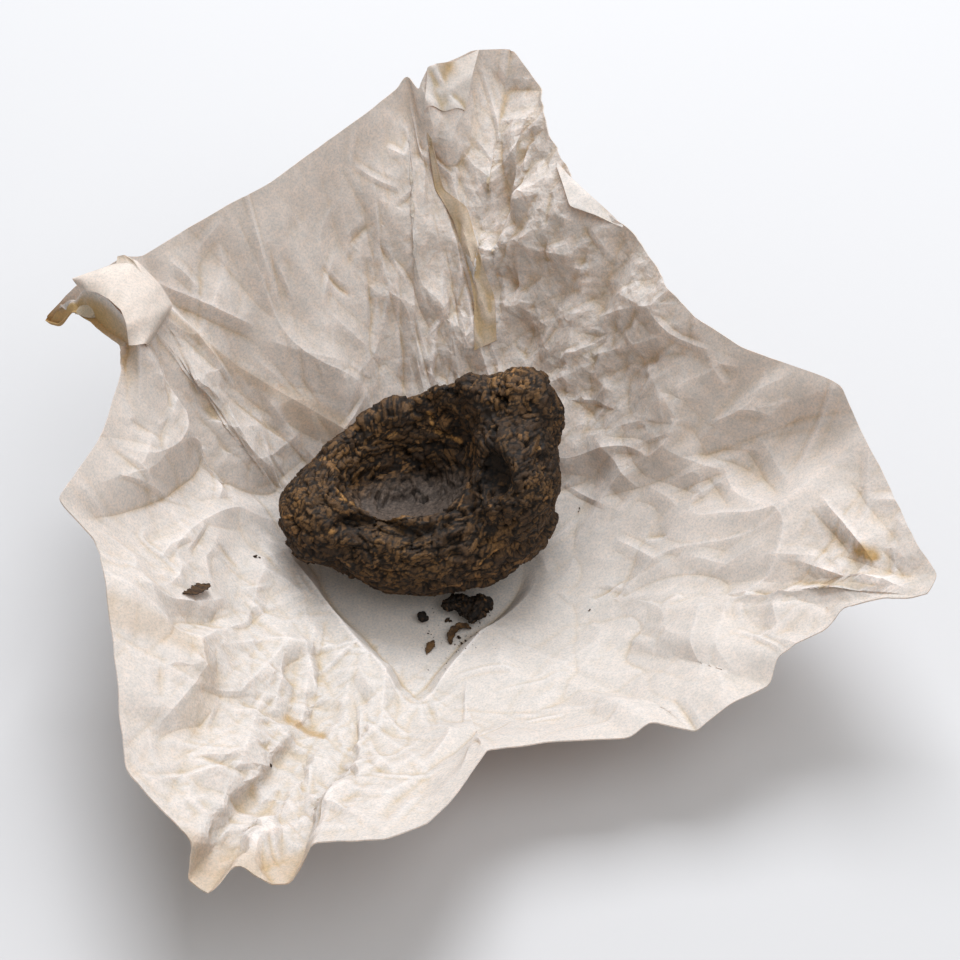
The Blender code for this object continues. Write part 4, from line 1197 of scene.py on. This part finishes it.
def makeCrumbs(tree, finish):
    rng = np.random.default_rng(crumbs["seed"])
    dust = crumbs["dust"]
    spots = np.array([spot[:2] for spot in crumbs["places"]])
    sizes = np.array([spot[2] for spot in crumbs["places"]])
    spots = np.concatenate([spots, rng.normal(dust["middle"], dust["spread"], (dust["count"], 2))])
    sizes = np.concatenate([sizes, rng.uniform(*dust["sizes"], dust["count"])])
    points = [(x + nestToPart[0], y + nestToPart[1], heightBelow(tree, x, y) + 0.28 * size)
              for (x, y), size in zip(spots, sizes)]
    mesh = bpy.data.meshes.new("looseCrumbs")
    mesh.from_pydata((np.array(points) * mm).tolist(), [], [])
    storeFloat(mesh, "size", sizes * mm)
    made = linkedObject("looseCrumbs", mesh)
    scatter = made.modifiers.new("scatterCrumbs", "NODES")
    scatter.node_group = crumbTree(finish)
    given = {"Flatness": crumbs["flatness"], "Seed": crumbs["seed"]}
    for socket in scatter.node_group.interface.items_tree:
        if socket.in_out == "INPUT" and socket.name in given:
            scatter[socket.identifier] = given[socket.name]
    mesh = finishedMesh(made)
    mesh.name = "looseCrumbs"
    count = len(mesh.vertices)
    tones = {"leafTone": rng.uniform(0.1, 0.6, count), "leafEdgeShading": np.ones(count),
             "leafLightnessAndShade": np.full(count, 0.8), "leafGold": np.full(count, 0.1),
             "leafCalm": np.zeros(count)}
    for tone, values in tones.items():
        storeFloat(mesh, tone, values)
    mesh.shade_smooth()
    return dressedPiece("looseCrumbs", mesh, finish)


# Camera, light and floor

# the camera looks along +Y and down, at a place over the nest layout's origin
shot = {
    "targetHeight": 8.0,
    "distance": 190.0,
    "elevation": 50.0,
    "lens": 70.0,
    "sensor": 36.0,
}

# lights: place in metres, width, watts and colour
lamps = {
    "key": {"spot": (0.0, 0.27, 0.43), "size": 0.28, "energy": 3.15, "colour": "#f7faff"},
    "fill": {"spot": (0.25, -0.10, 0.45), "size": 0.40, "energy": 1.1, "colour": "#fdfdff"},
}
room = {
    "lampAim": (0.0, 0.0, 0.01),
    "skyColour": "#f5f3f0",
    "skyStrength": 0.62,
    "floorColour": "#b9b9ba",
    "floorHalf": 1.5,           # metres
}


def setCamera():
    camera = bpy.data.cameras.new("camera")
    camera.lens = shot["lens"]
    camera.sensor_width = shot["sensor"]
    camera.clip_start = 0.001
    seen = linkedObject("camera", camera)
    tilt = math.radians(shot["elevation"])
    back = Vector((0.0, -math.cos(tilt), math.sin(tilt)))
    target = Vector(nestToPart) + Vector((0.0, 0.0, shot["targetHeight"]))
    seen.location = (target + back * shot["distance"]) * mm
    seen.rotation_euler = (math.radians(90.0) - tilt, 0.0, 0.0)
    bpy.context.scene.camera = seen


def areaLight(name, lamp):
    light = bpy.data.lights.new(name, "AREA")
    light.size = lamp["size"]
    light.energy = lamp["energy"]
    light.color = linearColour(lamp["colour"])[:3]
    made = linkedObject(name, light)
    made.location = lamp["spot"]
    toAim = Vector(room["lampAim"]) - Vector(lamp["spot"])
    made.rotation_euler = toAim.to_track_quat("-Z", "Y").to_euler()


def setStage():
    world = bpy.data.worlds.new("softStudio")
    bpy.context.scene.world = world
    world.use_nodes = True
    sky = world.node_tree.nodes["Background"]
    sky.inputs["Color"].default_value = linearColour(room["skyColour"])
    sky.inputs["Strength"].default_value = room["skyStrength"]
    for name, lamp in lamps.items():
        areaLight(name, lamp)
    mesh = bpy.data.meshes.new("floor")
    half = room["floorHalf"]
    corners = [(-half, -half, 0), (half, -half, 0), (half, half, 0), (-half, half, 0)]
    mesh.from_pydata(corners, [], [(0, 1, 2, 3)])
    floor = linkedObject("floor", mesh)
    floor.location.z = -0.0001
    made = bpy.data.materials.new("paleFloor")
    made.use_nodes = True
    shader = made.node_tree.nodes["Principled BSDF"]
    shader.inputs["Base Color"].default_value = linearColour(room["floorColour"])
    shader.inputs["Roughness"].default_value = 0.9
    mesh.materials.append(made)


setCamera()
setStage()
bpy.context.scene.view_settings.view_transform = "Standard"

leafFinish = leafMaterial()
tissueFinish = tissueMaterial()
tissue = makeWrapper(tissueFinish)
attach(tissue, "root")
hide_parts("wrapper")
tissueTree = BVHTree.FromObject(tissue, bpy.context.evaluated_depsgraph_get())
for name, part in turnedParts.items():
    turned = turnedPart(name, part, tissueTree, tissueFinish)
    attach(turned, "root")
print("turned parts:", len(turnedParts))

nest = pressedPiece("teaNest", tea, leafFinish)
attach(nest, "root")
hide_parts("tuocha")

fallen = pressedPiece("fallenClump", clump, leafFinish)
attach(fallen, "root")
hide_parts("fallen_clump")
ball = pressedPiece("looseBead", bead, leafFinish)
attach(ball, "root")
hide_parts("loose_bead")
for name, bit in looseBits.items():
    piece = looseBit(name, bit, tissueTree, leafFinish)
    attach(piece, "root")
    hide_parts(bit["node"])
scattered = makeCrumbs(tissueTree, leafFinish)
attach(scattered, "root")
